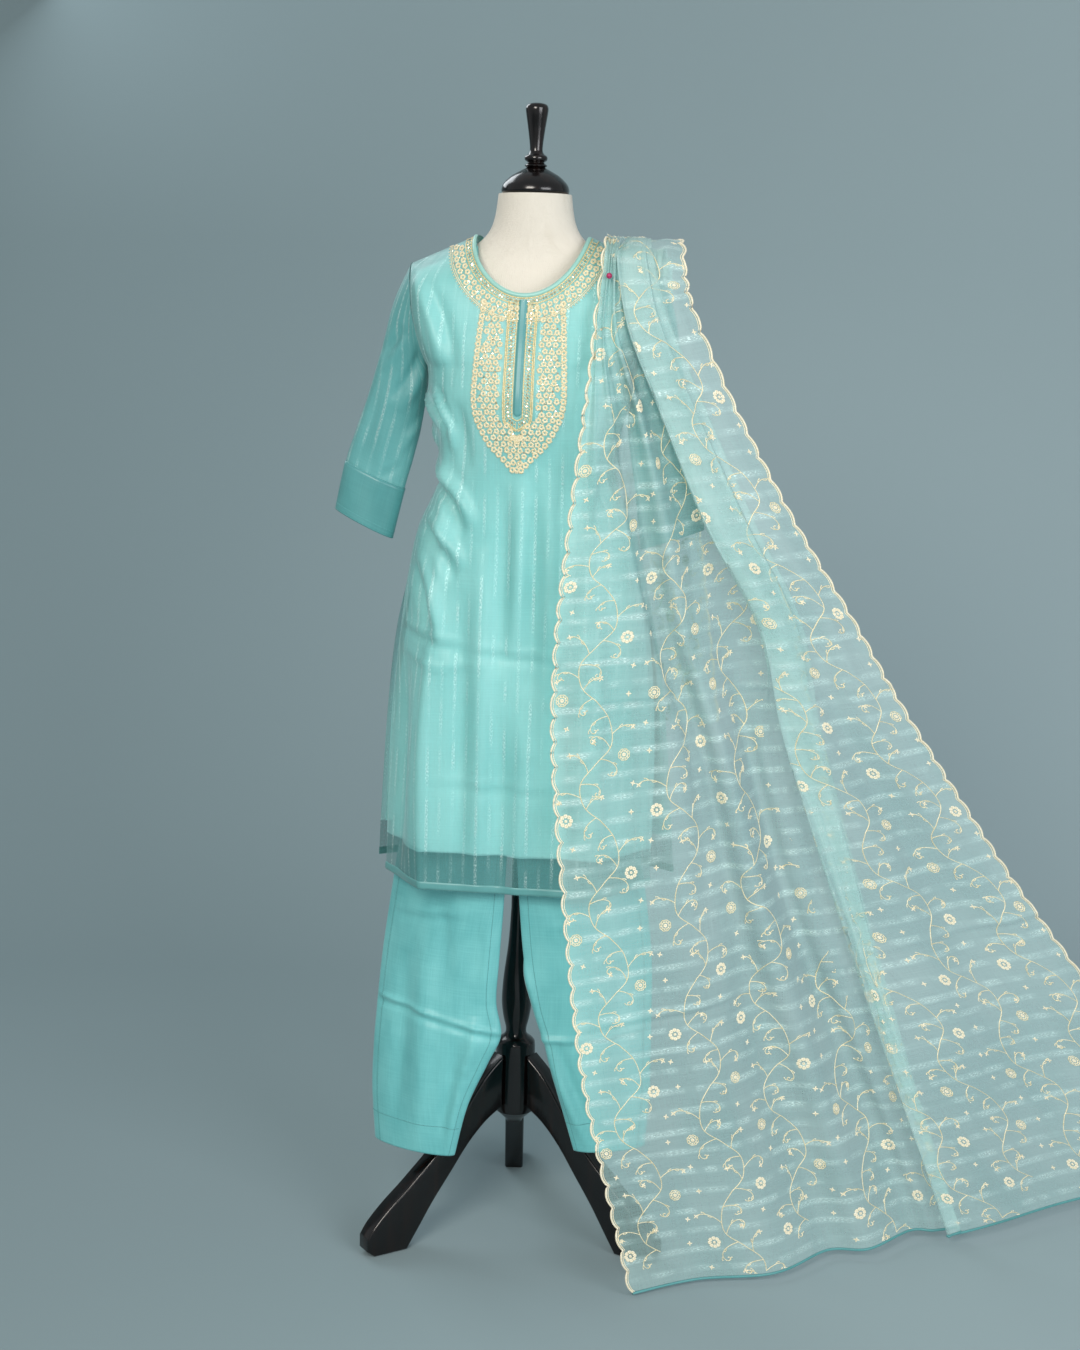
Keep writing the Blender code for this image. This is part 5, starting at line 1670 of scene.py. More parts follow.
@dataclass(frozen=True)
class Sleeves:
    """Both three-quarter sleeves with their cuffs, whose darker satin is partly painted shade where each
    sleeve bends.

    Args:
        kameez: the kameez they are set in.
        rings: their rings, from shoulder to cuff.
        pivot: where each swings from.
        swings: how far each hangs in towards the body.
        sides: how many points a ring has.
        steps: how many rows there are from one ring to the next.
        cuff_from: the ring that the cuff starts at.
        seam: how far outside the armhole they start.
        folds: the creases of their fronts, repeated a little lower behind.
    """

    kameez: Kameez
    rings: tuple[SleeveRing, ...] = (
        SleeveRing(0.2048, 1.4202, 0.1530, 1.3220, 0.040), SleeveRing(0.2192, 1.3618, 0.1540, 1.3000, 0.035),
        SleeveRing(0.2411, 1.2880, 0.1610, 1.2450, 0.028), SleeveRing(0.2630, 1.2250, 0.1735, 1.1920, 0.023),
        SleeveRing(0.2765, 1.1830, 0.1868, 1.1446, 0.020), SleeveRing(0.2916, 1.1109, 0.2052, 1.0691, 0.021),
    )
    pivot: tuple[float, float] = (0.166, 1.400)
    swings: tuple[tuple[str, float], ...] = (("left", 0.0), ("right", math.radians(6.0)))
    sides: int = 72
    steps: int = 12
    cuff_from: int = 5
    seam: float = 0.0012
    folds: tuple[Crease, ...] = creases(
        (-0.186, 1.378, -0.216, 1.346, 0.0060, -0.0042, 0.003),
        (-0.182, 1.364, -0.214, 1.322, 0.0060, 0.0034, 0.003),
        (-0.155, 1.358, -0.200, 1.282, 0.0070, -0.0050, 0.005),
        (-0.152, 1.335, -0.188, 1.262, 0.0070, 0.0044, 0.004),
        (-0.146, 1.290, -0.178, 1.230, 0.0060, -0.0040, 0.003),
        (-0.160, 1.265, -0.186, 1.205, 0.0060, 0.0034, 0.003),
        (-0.205, 1.400, -0.232, 1.290, 0.0090, 0.0030, 0.004),
        (-0.222, 1.300, -0.252, 1.190, 0.0090, -0.0026, 0.003),
        (-0.210, 1.240, -0.222, 1.140, 0.0090, 0.0026, -0.003),
        (-0.190, 1.180, -0.226, 1.160, 0.0060, -0.0020, 0.002),
    )

    def grid(self, side: str, sign: int) -> Array:
        """Return rings of points of one sleeve, from its armhole to its cuff."""
        k = self.kameez
        angles = np.linspace(math.pi, 3 * math.pi, self.sides + 1)
        z = (k.armhole_top + k.armhole_bottom) / 2 + (k.armhole_top - k.armhole_bottom) / 2 * np.cos(angles)
        body = k.half_width(Facing.FRONT, z) + self.seam
        rings = [np.stack([body, k.armhole_half_depth * np.sin(angles), z], 1)]
        share = (1 + np.cos(angles)) / 2
        swing_full = dict(self.swings)[side]
        for i, row in enumerate(self.rings):
            swing = swing_full * min(i / 2, 1)
            x = row.inner_x + (row.outer_x - row.inner_x) * share - self.pivot[0]
            up = row.inner_z + (row.outer_z - row.inner_z) * share - self.pivot[1]
            rings.append(np.stack([
                self.pivot[0] + x * math.cos(swing) + up * math.sin(swing),
                row.half_depth * np.sin(angles),
                self.pivot[1] + up * math.cos(swing) - x * math.sin(swing),
            ], 1))
        points = through(np.array(rings), self.steps)
        clear = k.half_width(Facing.FRONT, points[..., 2]) + self.seam
        points[..., 0] = np.maximum(points[..., 0], clear)
        return points * (sign, 1, 1)

    def build(self) -> None:
        """Add both sleeves and both cuffs."""
        for side, sign in (("left", -1), ("right", 1)):
            points = self.grid(side, sign)
            run = lengths(points, 1)
            down = lengths(points, 0).mean(1)
            flat = np.stack([run - run[:, self.sides // 2, None], 0 * run + down[:, None]], -1)
            sleeve = Cloth(points, flat, ring=True)
            places = points[..., ::2] * (-sign, 1)
            front = np.clip(-sleeve.normals()[..., 1] * 2, -1, 1)
            lift = lift_of(self.folds, places) * np.maximum(front, 0)
            lift += lift_of(self.folds, places + (0.004, 0.012)) * np.maximum(-front, 0) * 0.8
            calm = np.clip(down / 0.03, 0, 1)[:, None]
            sleeve = sleeve.pressed(lift * calm)
            # the sleeve's organza is a darker copy of the kameez's, a painted shade
            item = sleeve.added(f"sleeve_tube_{side}", SHADED_SLEEVE_ORGANZA)
            stands_for(item, f"sleeve_{side}")
            self.add_cuff(sleeve, side)

    def add_cuff(self, sleeve: Cloth, side: str) -> None:
        """Add the cuff laid over a sleeve's end, with its three stitched lines. Its darker satin is partly
        painted shade, for where the sleeve bends.
        """
        first = self.cuff_from * self.steps
        outer = sleeve.pressed(np.full(sleeve.points.shape[:2], 0.0013))
        band = Cloth(outer.points[first:], outer.flat[first:], ring=True)
        # painted shade: the cuff's darker satin covers the sleeve's whole lower band, standing in for the
        # shade where the sleeve bends
        cuff = band.added(f"shaded_cuff_band_{side}", SATIN_BINDING_AND_CUFF_SHADE, 0.0006)
        stands_for(cuff, f"sleeve_cuff_{side}")
        seams = Stitching()
        across = np.linspace(band.flat[..., 0].min(), band.flat[..., 0].max(), 160)
        top, foot = band.flat[0, 0, 1], band.flat[-1, 0, 1]
        for along in (top + 0.0015, foot - 0.0100, foot - 0.0015):
            seams.thread(np.stack([across, 0 * across + along], 1), 0.0005)
        seams.sewn(f"cuff_stitches_{side}", SEWING_THREAD, Lookup(band, 0.002))


# The trousers


class LegRing(NamedTuple):
    """One ring of a trouser leg. Depths are in front of the post."""

    z: float
    outer: float
    inner: float
    depth: float
    half_depth: float
    bow: float


@dataclass(frozen=True)
class Trousers:
    """The straight trousers: two legs, joined above the crotch, and their waistband.

    Args:
        left: the rings of the left leg, from its hem up.
        right: those of the right leg.
        seat: half width, depth and half depth of both at each height above the crotch.
        bow: how fast they curve back round the form, in metres back for each metre out, squared.
        sides: how many points a ring has.
        waistband: the depth of the waistband.
        hem: the depth of the hem.
        folds: the creases of their fronts.
        hidden_folds: those of their backs.
    """

    left: tuple[LegRing, ...] = (
        LegRing(0.152, 0.2040, 0.0710, 0.128, 0.016, 1.2), LegRing(0.230, 0.2115, 0.0530, 0.122, 0.017, 1.2),
        LegRing(0.298, 0.2113, 0.0240, 0.115, 0.018, 1.2), LegRing(0.342, 0.2100, 0.0060, 0.110, 0.018, 1.3),
        LegRing(0.391, 0.2085, 0.0150, 0.105, 0.017, 1.5), LegRing(0.452, 0.2050, 0.0130, 0.100, 0.014, 1.8),
        LegRing(0.550, 0.1930, 0.0080, 0.095, 0.011, 2.1), LegRing(0.700, 0.1700, 0.0030, 0.094, 0.009, 2.2),
    )
    right: tuple[LegRing, ...] = (
        LegRing(0.172, 0.2120, 0.1080, 0.128, 0.016, 1.2), LegRing(0.247, 0.2156, 0.0853, 0.122, 0.017, 1.2),
        LegRing(0.298, 0.2150, 0.0700, 0.115, 0.018, 1.2), LegRing(0.336, 0.2140, 0.0590, 0.110, 0.018, 1.3),
        LegRing(0.391, 0.2120, 0.0400, 0.105, 0.017, 1.5), LegRing(0.455, 0.2080, 0.0245, 0.100, 0.014, 1.8),
        LegRing(0.550, 0.1950, 0.0140, 0.095, 0.011, 2.1), LegRing(0.700, 0.1700, 0.0030, 0.094, 0.009, 2.2),
    )
    seat: tuple[tuple[float, float, float, float], ...] = (
        (0.780, 0.158, 0.093, 0.0075), (0.900, 0.146, 0.092, 0.0070), (1.020, 0.132, 0.092, 0.0070),
    )
    bow: float = 2.2
    sides: int = 72
    waistband: float = 0.036
    hem: float = 0.044
    folds: tuple[Crease, ...] = creases(
        (-0.203, 0.374, -0.150, 0.372, 0.0040, 0.0028), (-0.203, 0.366, -0.150, 0.363, 0.0060, -0.0022),
        (-0.152, 0.372, -0.095, 0.361, 0.0040, 0.0026), (-0.152, 0.363, -0.095, 0.352, 0.0060, -0.0022),
        (-0.098, 0.362, -0.004, 0.345, 0.0040, 0.0024), (-0.098, 0.353, -0.004, 0.336, 0.0060, -0.0020),
        (-0.046, 0.362, -0.058, 0.286, 0.0080, 0.0040, 0.004),
        (-0.058, 0.290, -0.080, 0.156, 0.0080, 0.0036, -0.003),
        (-0.072, 0.330, -0.092, 0.190, 0.0100, -0.0034, 0.003),
        (-0.180, 0.508, -0.060, 0.522, 0.0050, 0.0018), (-0.180, 0.499, -0.060, 0.513, 0.0070, -0.0016),
        (-0.130, 0.470, -0.128, 0.170, 0.0150, 0.0036, 0.004),
        (-0.160, 0.440, -0.166, 0.200, 0.0120, -0.0032, 0.003),
        (-0.108, 0.540, -0.094, 0.400, 0.0120, -0.0028, 0.004),
        (-0.030, 0.520, -0.034, 0.400, 0.0110, 0.0030, 0.003),
        (0.022, 0.452, 0.060, 0.340, 0.0070, 0.0040, 0.004), (0.058, 0.340, 0.106, 0.341, 0.0050, 0.0026),
        (0.104, 0.341, 0.206, 0.352, 0.0045, 0.0022), (0.104, 0.332, 0.206, 0.343, 0.0065, -0.0020),
        (0.062, 0.344, 0.134, 0.176, 0.0080, 0.0042, -0.004),
        (0.080, 0.334, 0.148, 0.188, 0.0080, -0.0034, -0.003), (0.060, 0.510, 0.186, 0.520, 0.0055, 0.0018),
        (0.120, 0.500, 0.150, 0.210, 0.0140, 0.0036, 0.004),
        (0.160, 0.470, 0.184, 0.220, 0.0120, -0.0032, 0.003),
    )
    hidden_folds: tuple[Crease, ...] = creases(
        (-0.200, 0.368, -0.080, 0.358, 0.0045, 0.0024), (-0.200, 0.358, -0.080, 0.348, 0.0060, -0.0020),
        (-0.150, 0.560, -0.142, 0.180, 0.0150, 0.0038, 0.004),
        (-0.110, 0.520, -0.106, 0.230, 0.0130, -0.0032, 0.003),
        (-0.070, 0.480, -0.092, 0.170, 0.0120, 0.0036, -0.004),
        (0.070, 0.350, 0.206, 0.360, 0.0045, 0.0024), (0.160, 0.540, 0.170, 0.200, 0.0140, 0.0038, 0.004),
        (0.110, 0.500, 0.140, 0.220, 0.0120, -0.0032, 0.003), (-0.170, 0.700, 0.170, 0.705, 0.0060, 0.0016),
    )

    def build(self) -> None:
        """Add both legs, their stitched lines and the waistband."""
        for side, sign, table in (("left", -1, self.left), ("right", 1, self.right)):
            self.add_leg(side, sign, table)
        self.add_waistband()
        LOG.info("trousers: two legs and a waistband")

    def add_leg(self, side: str, sign: int, table: Sequence[LegRing]) -> None:
        """Add one leg.

        Args:
            side: the leg's side.
            sign: -1 on the left, 1 on the right.
            table: its rings, from its hem up.
        """
        angles = np.linspace(0, math.tau, self.sides + 1)
        rings = []
        for row in table:
            x = (row.outer + row.inner) / 2 - (row.outer - row.inner) / 2 * np.cos(angles)
            y = row.bow * x * x - row.depth - row.half_depth * np.sin(angles)
            rings.append(np.stack([x, y, 0 * x + row.z], 1))
        legs = through(np.array(rings), 18)
        turns = math.pi * (np.arange(self.sides + 1) - 1) / (self.sides - 2)
        above = []
        for z, half, depth, thick in self.seat:
            x = np.maximum(half * np.sin(turns), 0.0006)
            y = self.bow * x * x - depth - thick * np.cos(turns)
            x[0] = x[-1] = 0.0
            y[0] = y[-1] = -depth
            above.append(np.stack([x, y, 0 * x + z], 1))
        points = np.concatenate([legs, through(np.array([rings[-1], *above]), 8)[1:]]) * (sign, 1, 1)
        opened = np.zeros((len(points) - 1, self.sides), bool)
        opened[len(legs) - 1 :, [0, -1]] = True
        run = lengths(points, 1)
        flat = np.stack([run - run[:, self.sides // 2, None], points[..., 2]], -1)
        leg = Cloth(points, flat, ring=True, opened=opened)
        front = np.clip(-leg.normals()[..., 1] * 2.5, -1, 1)
        lift = lift_of(self.folds, points[..., ::2]) * np.maximum(front, 0)
        lift += lift_of(self.hidden_folds, points[..., ::2]) * np.maximum(-front, 0)
        leg = leg.pressed(lift * 1.6)
        item = leg.added(f"trouser_leg_{side}", TROUSER_SILK, 0.0008)
        stands_for(item, f"trouser_{side}")
        self.add_stitches(leg, side)

    def add_stitches(self, leg: Cloth, side: str) -> None:
        """Add a leg's stitched lines: its side seam, its inner seam and its hem."""
        seams = Stitching()
        low = leg.points[0, 0, 2]
        heights = np.linspace(low + 0.001, 0.62, 150)
        rows, edge = leg.points[:, 0, 2], leg.flat[:, -1, 0]
        half, wide = (np.interp(at, rows, edge) for at in (heights, low + self.hem))
        # the flat place runs from the inner edge, round the front to the outer edge, and back
        for across in (0 * heights - 0.0175, 0 * heights - 0.0195, 0.006 - half):
            seams.thread(np.stack([across, heights], 1), 0.0005)
        seams.thread(np.stack([np.linspace(-wide, wide, 200), np.full(200, low + self.hem)], 1), 0.0006)
        seams.sewn(f"trouser_stitches_{side}", SEWING_THREAD, Lookup(leg, 0.0025))

    def add_waistband(self) -> None:
        """Add the waistband, a flat band on the trousers' top edge."""
        foot, half, depth, thick = self.seat[-1]
        angles = np.linspace(0, math.tau, 97)
        heights = np.linspace(foot + 0.0006, foot + self.waistband, 8)[:, None]
        x = half * np.cos(angles) + 0 * heights
        y = self.bow * x * x - depth + thick * np.sin(angles)
        points = np.stack([x, y, heights + 0 * x], -1)
        flat = np.stack([lengths(points, 1), points[..., 2]], -1)
        band = Cloth(points, flat, ring=True).added("trouser_band", TROUSER_SILK, 0.0010)
        stands_for(band, "trouser_waistband")


# The dupatta


class Fall(NamedTuple):
    """One station of the front fall: both edges, and the share across where each fold line crosses it."""

    left: tuple[float, float, float]
    right: tuple[float, float, float]
    lap: float
    crest_a: float
    dip_a: float
    crest_b: float
    dip_b: float
    tuck: float
    fold: float
    middle: float


class Relief(NamedTuple):
    """How far each fold line stands behind the straight line between the edges."""

    lap: float
    crest_a: float
    dip_a: float
    crest_b: float
    dip_b: float
    tuck: float
    fold: float
    middle: float


class BackFall(NamedTuple):
    """One height of the back fall: its two sides, its depth and how deep its pleats are."""

    z: float
    near_x: float
    far_x: float
    depth: float
    pleat: float


class Stack(NamedTuple):
    """How thick the folded cloth is, at one place along the shoulder."""

    x: float
    thickness: float


@dataclass(frozen=True)
class Dupatta:
    """The long sheer scarf: folded over one shoulder, pinned there, and fanned out to the floor.

    Args:
        kameez: the kameez whose shoulder it lies on.
        falls: the stations of the front fall, from the shoulder's far side to its end hem.
        reliefs: how far its folds stand out at each station.
        backs: the heights of the back fall.
        stacks: the thickness of the folds over the shoulder.
        held_to: how far out the shoulder holds the stack.
        stack_drops: how far the stack reaches down in front and behind.
        stack_lift: how far it lies above the kameez.
        layers: how many layers it has.
        scallop: the pitch and the depth of the scallops of its long edges.
        step: the pitch of its rows.
        pleats: how many pleats the back fall has.
        seed: starts the pleats' small unevenness.
        fineness: how many steps there are from one fold line to the next.
        hidden: how far the inner layer is carried behind the wide flap at each station, as a share.
        cord_ends: how many rows short of the stack the edges' cords stop, on the left and on the right.
        vine_pitch: the width of a vine's lane.
        vine_repeat: the length of its repeat.
        rng: the source of the vines' unevenness.
    """

    kameez: Kameez
    falls: tuple[Fall, ...] = (
        Fall((0.108, 0.010, 1.5135), (0.206, 0.004, 1.513), 0.03, 0.08, 0.14, 0.20, 0.27, 0.36, 0.300, 0.60),
        Fall((0.106, -0.030, 1.517), (0.207, -0.036, 1.513), 0.03, 0.08, 0.14, 0.20, 0.27, 0.36, 0.300, 0.60),
        Fall((0.103, -0.068, 1.502), (0.209, -0.074, 1.496), 0.02, 0.06, 0.11, 0.15, 0.19, 0.29, 0.210, 0.56),
        Fall((0.101, -0.088, 1.478), (0.210, -0.091, 1.468), 0.02, 0.05, 0.09, 0.12, 0.15, 0.25, 0.165, 0.55),
        Fall((0.090, -0.126, 1.375), (0.227, -0.086, 1.410), 0.03, 0.08, 0.14, 0.20, 0.27, 0.40, 0.330, 0.65),
        Fall((0.078, -0.152, 1.260), (0.290, -0.062, 1.282), 0.08, 0.19, 0.29, 0.36, 0.45, 0.58, 0.500, 0.75),
        Fall((0.061, -0.160, 1.090), (0.380, -0.050, 1.125), 0.13, 0.27, 0.34, 0.43, 0.54, 0.67, 0.610, 0.80),
        Fall((0.048, -0.164, 0.935), (0.483, -0.020, 0.968), 0.15, 0.31, 0.37, 0.43, 0.56, 0.71, 0.677, 0.84),
        Fall((0.050, -0.168, 0.760), (0.584, 0.010, 0.808), 0.14, 0.34, 0.40, 0.46, 0.53, 0.58, 0.631, 0.81),
        Fall((0.0785, -0.200, 0.500), (0.750, 0.060, 0.575), 0.13, 0.28, 0.36, 0.42, 0.49, 0.54, 0.597, 0.80),
        Fall((0.110, -0.235, 0.285), (0.935, 0.105, 0.335), 0.11, 0.24, 0.33, 0.40, 0.47, 0.51, 0.558, 0.78),
        Fall((0.180, -0.252, 0.008), (1.150, 0.160, 0.034), 0.10, 0.22, 0.31, 0.38, 0.45, 0.49, 0.525, 0.76),
    )
    reliefs: tuple[Relief, ...] = (
        Relief(-0.001, -0.001, 0.001, -0.001, 0.001, 0.001, -0.002, -0.001),
        Relief(-0.001, -0.001, 0.001, -0.001, 0.001, 0.001, -0.002, -0.001),
        Relief(-0.002, -0.003, 0.001, -0.003, 0.002, 0.002, -0.005, -0.003),
        Relief(-0.003, -0.004, 0.001, -0.004, 0.002, 0.003, -0.009, -0.004),
        Relief(-0.004, -0.008, 0.003, -0.008, 0.004, 0.005, -0.011, -0.008),
        Relief(-0.006, -0.014, 0.004, -0.015, 0.015, 0.018, -0.016, -0.010),
        Relief(-0.008, -0.018, 0.006, -0.018, 0.020, 0.022, -0.020, -0.014),
        Relief(-0.010, -0.020, 0.008, -0.018, 0.026, 0.028, -0.022, -0.016),
        Relief(-0.010, -0.018, 0.008, -0.014, 0.022, 0.014, -0.022, -0.014),
        Relief(-0.006, -0.020, 0.010, -0.010, 0.022, 0.008, -0.022, -0.004),
        Relief(-0.004, -0.022, 0.012, -0.008, 0.022, 0.006, -0.024, 0.008),
        Relief(0.006, -0.024, 0.014, -0.006, 0.020, 0.004, -0.026, 0.012),
    )
    backs: tuple[BackFall, ...] = (
        BackFall(1.448, 0.106, 0.190, 0.083, 0.001),
        BackFall(1.425, 0.104, 0.196, 0.092, 0.002), BackFall(1.350, 0.100, 0.215, 0.112, 0.005),
        BackFall(1.200, 0.094, 0.245, 0.124, 0.009), BackFall(1.000, 0.088, 0.275, 0.134, 0.012),
        BackFall(0.780, 0.082, 0.305, 0.142, 0.014),
    )
    stacks: tuple[Stack, ...] = (
        Stack(0.105, 0.007), Stack(0.122, 0.012), Stack(0.140, 0.018), Stack(0.158, 0.024),
        Stack(0.1765, 0.029), Stack(0.190, 0.031), Stack(0.202, 0.030),
    )
    held_to: float = 0.1765
    stack_drops: tuple[float, float] = (0.018, 0.045)
    stack_lift: float = 0.0030
    layers: int = 7
    scallop: tuple[float, float] = (0.036, 0.0066)
    step: float = 0.00375
    pleats: int = 5
    seed: int = 7
    fineness: int = 11
    hidden: tuple[float, ...] = (0.45, 0.45, 0.50, 0.58, 0.62, 0.62, 0.58, 0.48, 0.30, 0.15, 0.07, 0.005)
    cord_ends: tuple[int, int] = (15, 6)
    vine_pitch: float = 0.130
    vine_repeat: float = 0.1728
    rng: np.random.Generator = field(default_factory=lambda: np.random.default_rng(19))

    def fall(self) -> Cloth:
        """Return the front fall, with rows at an even pitch up from its end hem."""
        stations = []
        for fall, relief in zip(self.falls, self.reliefs):
            left, right = np.array(fall.left), np.array(fall.right)
            line = [left]
            for name in Relief._fields:
                if name == "fold":
                    line += self.inner_layers(fall, relief)
                line.append(left + (right - left) * getattr(fall, name) + (0, getattr(relief, name), 0))
            stations.append([*line, right])
        rows = through(np.array(stations), 48)
        points = np.swapaxes(through(np.swapaxes(rows, 0, 1), self.fineness), 0, 1)
        run = lengths(points, 0).mean(1)
        even = np.arange(0, run[-1] - run[0], self.step)
        along = run[-1] - run
        points = blended(points, np.interp(even, along[::-1], np.arange(len(along))[::-1]))
        over = lengths(points, 1)
        tuck, fold = 6 * self.fineness, 11 * self.fineness
        width = over[0, -1]
        LOG.info("dupatta: %.3f m wide at its end, %.3f m along in front", width, even[-1])
        from_right = width - (over[:, -1:] - over)
        share = (over - over[:, tuck, None]) / (over[:, fold, None] - over[:, tuck, None])
        hidden = over[:, tuck, None] + (from_right[:, fold, None] - over[:, tuck, None]) * share
        column = np.arange(points.shape[1])
        across = np.where(column <= tuck, over, np.where(column >= fold, from_right, hidden))
        flat = np.stack([across, even[:, None] + 0 * across], -1)
        return self.scalloped(self.creased(Cloth(points, flat, facing=(0, -1, 0.4))))

    def inner_layers(self, fall: Fall, relief: Relief) -> list[Array]:
        """Return where the cloth turns back and forth behind the wide flap, at one station."""
        left, right = np.array(fall.left), np.array(fall.right)
        reach = self.hidden[self.falls.index(fall)] * (1 - fall.fold)
        turns = []
        for k, share in enumerate((0.02, 1.0, 0.10, 0.78)):
            depth = relief.tuck + (relief.fold - relief.tuck) * (0.25 + 0.15 * k)
            turns.append(left + (right - left) * (fall.fold + reach * share) + (0, depth, 0))
        return turns

    def creased(self, cloth: Cloth) -> Cloth:
        """Return the fall with radiating pleats, long soft folds and packing creases."""
        rows, columns = cloth.points.shape[:2]
        along = cloth.flat[..., 1]
        top = along.max()
        share = np.linspace(0, 1, columns)[None, :] + 0 * along
        rng = np.random.default_rng(self.seed)
        lift = np.zeros((rows, columns))
        near = np.clip(1 - (top - 0.10 - along) / 0.75, 0, 1) ** 1.6
        near *= np.clip((top - along) / 0.10, 0.15, 1)
        for k, at in enumerate(np.linspace(0.03, 0.98, 24)):
            bend = at + rng.normal(0, 0.010)
            width = rng.uniform(0.010, 0.018)
            height = rng.uniform(0.6, 1.3) * (1 if k % 2 else -1)
            lift += 0.0044 * height * near * gauss((share - bend) / width)
        for at, start, end, width, height in (
            (0.06, 0.10, 1.30, 0.030, 0.0060), (0.17, 0.30, 1.45, 0.022, -0.0050),
            (0.30, 0.00, 0.90, 0.030, 0.0070), (0.40, 0.05, 1.10, 0.026, -0.0060),
            (0.76, 0.00, 1.25, 0.020, -0.0060), (0.80, 0.05, 1.45, 0.018, 0.0070),
            (0.85, 0.00, 1.00, 0.020, -0.0080), (0.89, 0.00, 1.35, 0.018, 0.0080),
            (0.93, 0.20, 1.30, 0.018, -0.0060), (0.965, 0.00, 1.10, 0.014, 0.0070),
            (0.73, 0.40, 1.35, 0.014, 0.0050),
        ):
            lane = at + 0.012 * np.sin(along * 5 + at * 20)
            fade = np.sin(math.pi * np.clip((along - start + 0.12) / (end - start + 0.24), 0, 1)) ** 0.8
            lift += 1.4 * height * fade * gauss((share - lane) / width)
        for at, slope, height in (
            (0.455, 0.04, 0.0022), (0.447, 0.04, -0.0016), (0.905, -0.03, 0.0018), (0.896, -0.03, -0.0014),
            (1.33, 0.02, 0.0014), (0.23, -0.02, 0.0016),
        ):
            off = along - at - slope * (share - 0.5)
            lift += height * gauss(off / 0.0045) * (0.6 + 0.4 * np.sin(share * 21 + at * 40))
        sway = 0.0040 * np.sin(along * 9 + share * 7) * np.clip(1.3 - along, 0, 1)
        return cloth.pressed(lift + sway)

    def scalloped(self, cloth: Cloth) -> Cloth:
        """Return a cloth with both of its long edges worked into scallops."""
        pitch, depth = self.scallop
        bulge = depth * np.abs(np.sin(math.pi * cloth.flat[:, 0, 1] / pitch)) ** 0.7
        points, flat = cloth.points.copy(), cloth.flat.copy()
        for edge, inner, sign in ((0, 3, -1), (-1, -4, 1)):
            away = unit(points[:, edge] - points[:, inner])
            points[:, edge] += away * bulge[:, None]
            flat[:, edge, 0] += sign * bulge
        return replace(cloth, points=points, flat=flat)

    def add_edges(self, name: str, cloth: Cloth) -> None:
        """Add the corded scallops along both long edges: a thick cord and a fine one inside it."""
        parts = []
        for column, inner in ((0, 2), (-1, -3)):
            held = len(cloth.points) - self.cord_ends[column]
            edge = cloth.points[:held, column]
            way = unit(cloth.points[:held, inner] - edge)
            out = cloth.normals()[:held, column]
            for inwards, radius in ((0.0, 0.0016), (0.0034, 0.0006)):
                path = edge + way * inwards + out * radius * 0.5
                parts.append(tube(f"{name}_cord", path, radius, CORD_THREAD, 6, 0.0))
        joined(f"{name}_edges", parts)

    def vine(self, gold: Stitching, cream: Stitching, foot: Array, flip: int, turn: int) -> None:
        """Work one repeat of the trailing vine.

        Args:
            gold: takes the stems.
            cream: takes the flowers and buds.
            foot: where the repeat starts.
            flip: -1 to mirror it.
            turn: which of its two flowers comes first.
        """
        scale = np.array((flip * 0.84, 0.9))
        knots = (
            (0.0, 0.0), (0.026, 0.024), (0.030, 0.060), (0.002, 0.090), (-0.028, 0.118), (-0.024, 0.160),
            (0.0, 0.192),
        )
        stem = foot + curve(knots, 7) * scale
        gold.thread(stem, 0.0007)
        twigs = (
            (0.06, 1, 0.056, 1), (0.15, -1, 0.040, 0), (0.26, 1, 0.062, 1), (0.36, -1, 0.058, 1),
            (0.46, 1, 0.046, 0), (0.57, -1, 0.066, 1), (0.68, 1, 0.060, 1), (0.78, -1, 0.048, 0),
            (0.90, 1, 0.052, 1),
        )
        for share, side, length, curls in twigs:
            at = int(share * (len(stem) - 2))
            way = self.heading(stem, at) - side * flip * self.rng.uniform(0.7, 1.1)
            length *= self.rng.uniform(0.85, 1.15)
            shoot = self.tendril(stem[at], way, length, -side * flip, 1.7 if curls else 0.25)
            gold.thread(shoot, 0.00065)
            cream.beads(shoot[-1:], 0.0012)
            for place, lean in ((6, 0.8), (11, -0.9), (16, 0.7)):
                angle = self.heading(shoot, place) + lean
                bud = self.tendril(shoot[place], angle, 0.0085, 1 if lean < 0 else -1, 0.1)
                gold.thread(bud[::5], 0.0006)
                cream.beads(bud[-1:], 0.0011)
            if not curls:
                cream.whorl(shoot[-1], 4, way, 0.0, (0.0046, 0.0011))
        for centre in ((0.068, 0.034), (-0.064, 0.052), (0.050, 0.150), (-0.058, 0.006), (0.004, 0.128)):
            cream.whorl(foot + np.array(centre) * scale, 4, 0.7 + centre[0] * 40, 0.0, (0.0044, 0.0012))
        daisy, rose = ((-0.050, 0.100), (0.058, 0.004)) if turn else ((0.058, 0.004), (-0.050, 0.100))
        middle = foot + np.array(daisy) * scale
        spokes = np.arange(8) * math.pi / 4
        cream.flowers(middle + 0.0072 * around(spokes), 0.0032, 3, 0.10, spokes, 0.0010)
        cream.flowers(middle[None], 0.0024, 4, 0.15, np.zeros(1), 0.0013)
        middle = foot + np.array(rose) * scale
        ring = np.linspace(0, math.tau, 49)
        for radius in (0.0086, 0.0056):
            wave = radius * (0.90 + 0.10 * np.abs(np.sin(ring * 4)))
            gold.thread(middle + around(ring) * wave[:, None], 0.0007)
        cream.flowers(middle[None], 0.0032, 6, 0.12, np.zeros(1), 0.0013)
        cream.whorl(middle, 10, 0.0, 0.0040, (0.0036, 0.0010))

    @staticmethod
    def heading(path: Array, place: int) -> float:
        """Return which way a path runs at one of its points, in radians."""
        across, along = path[place + 1] - path[place]
        return math.atan2(along, across)

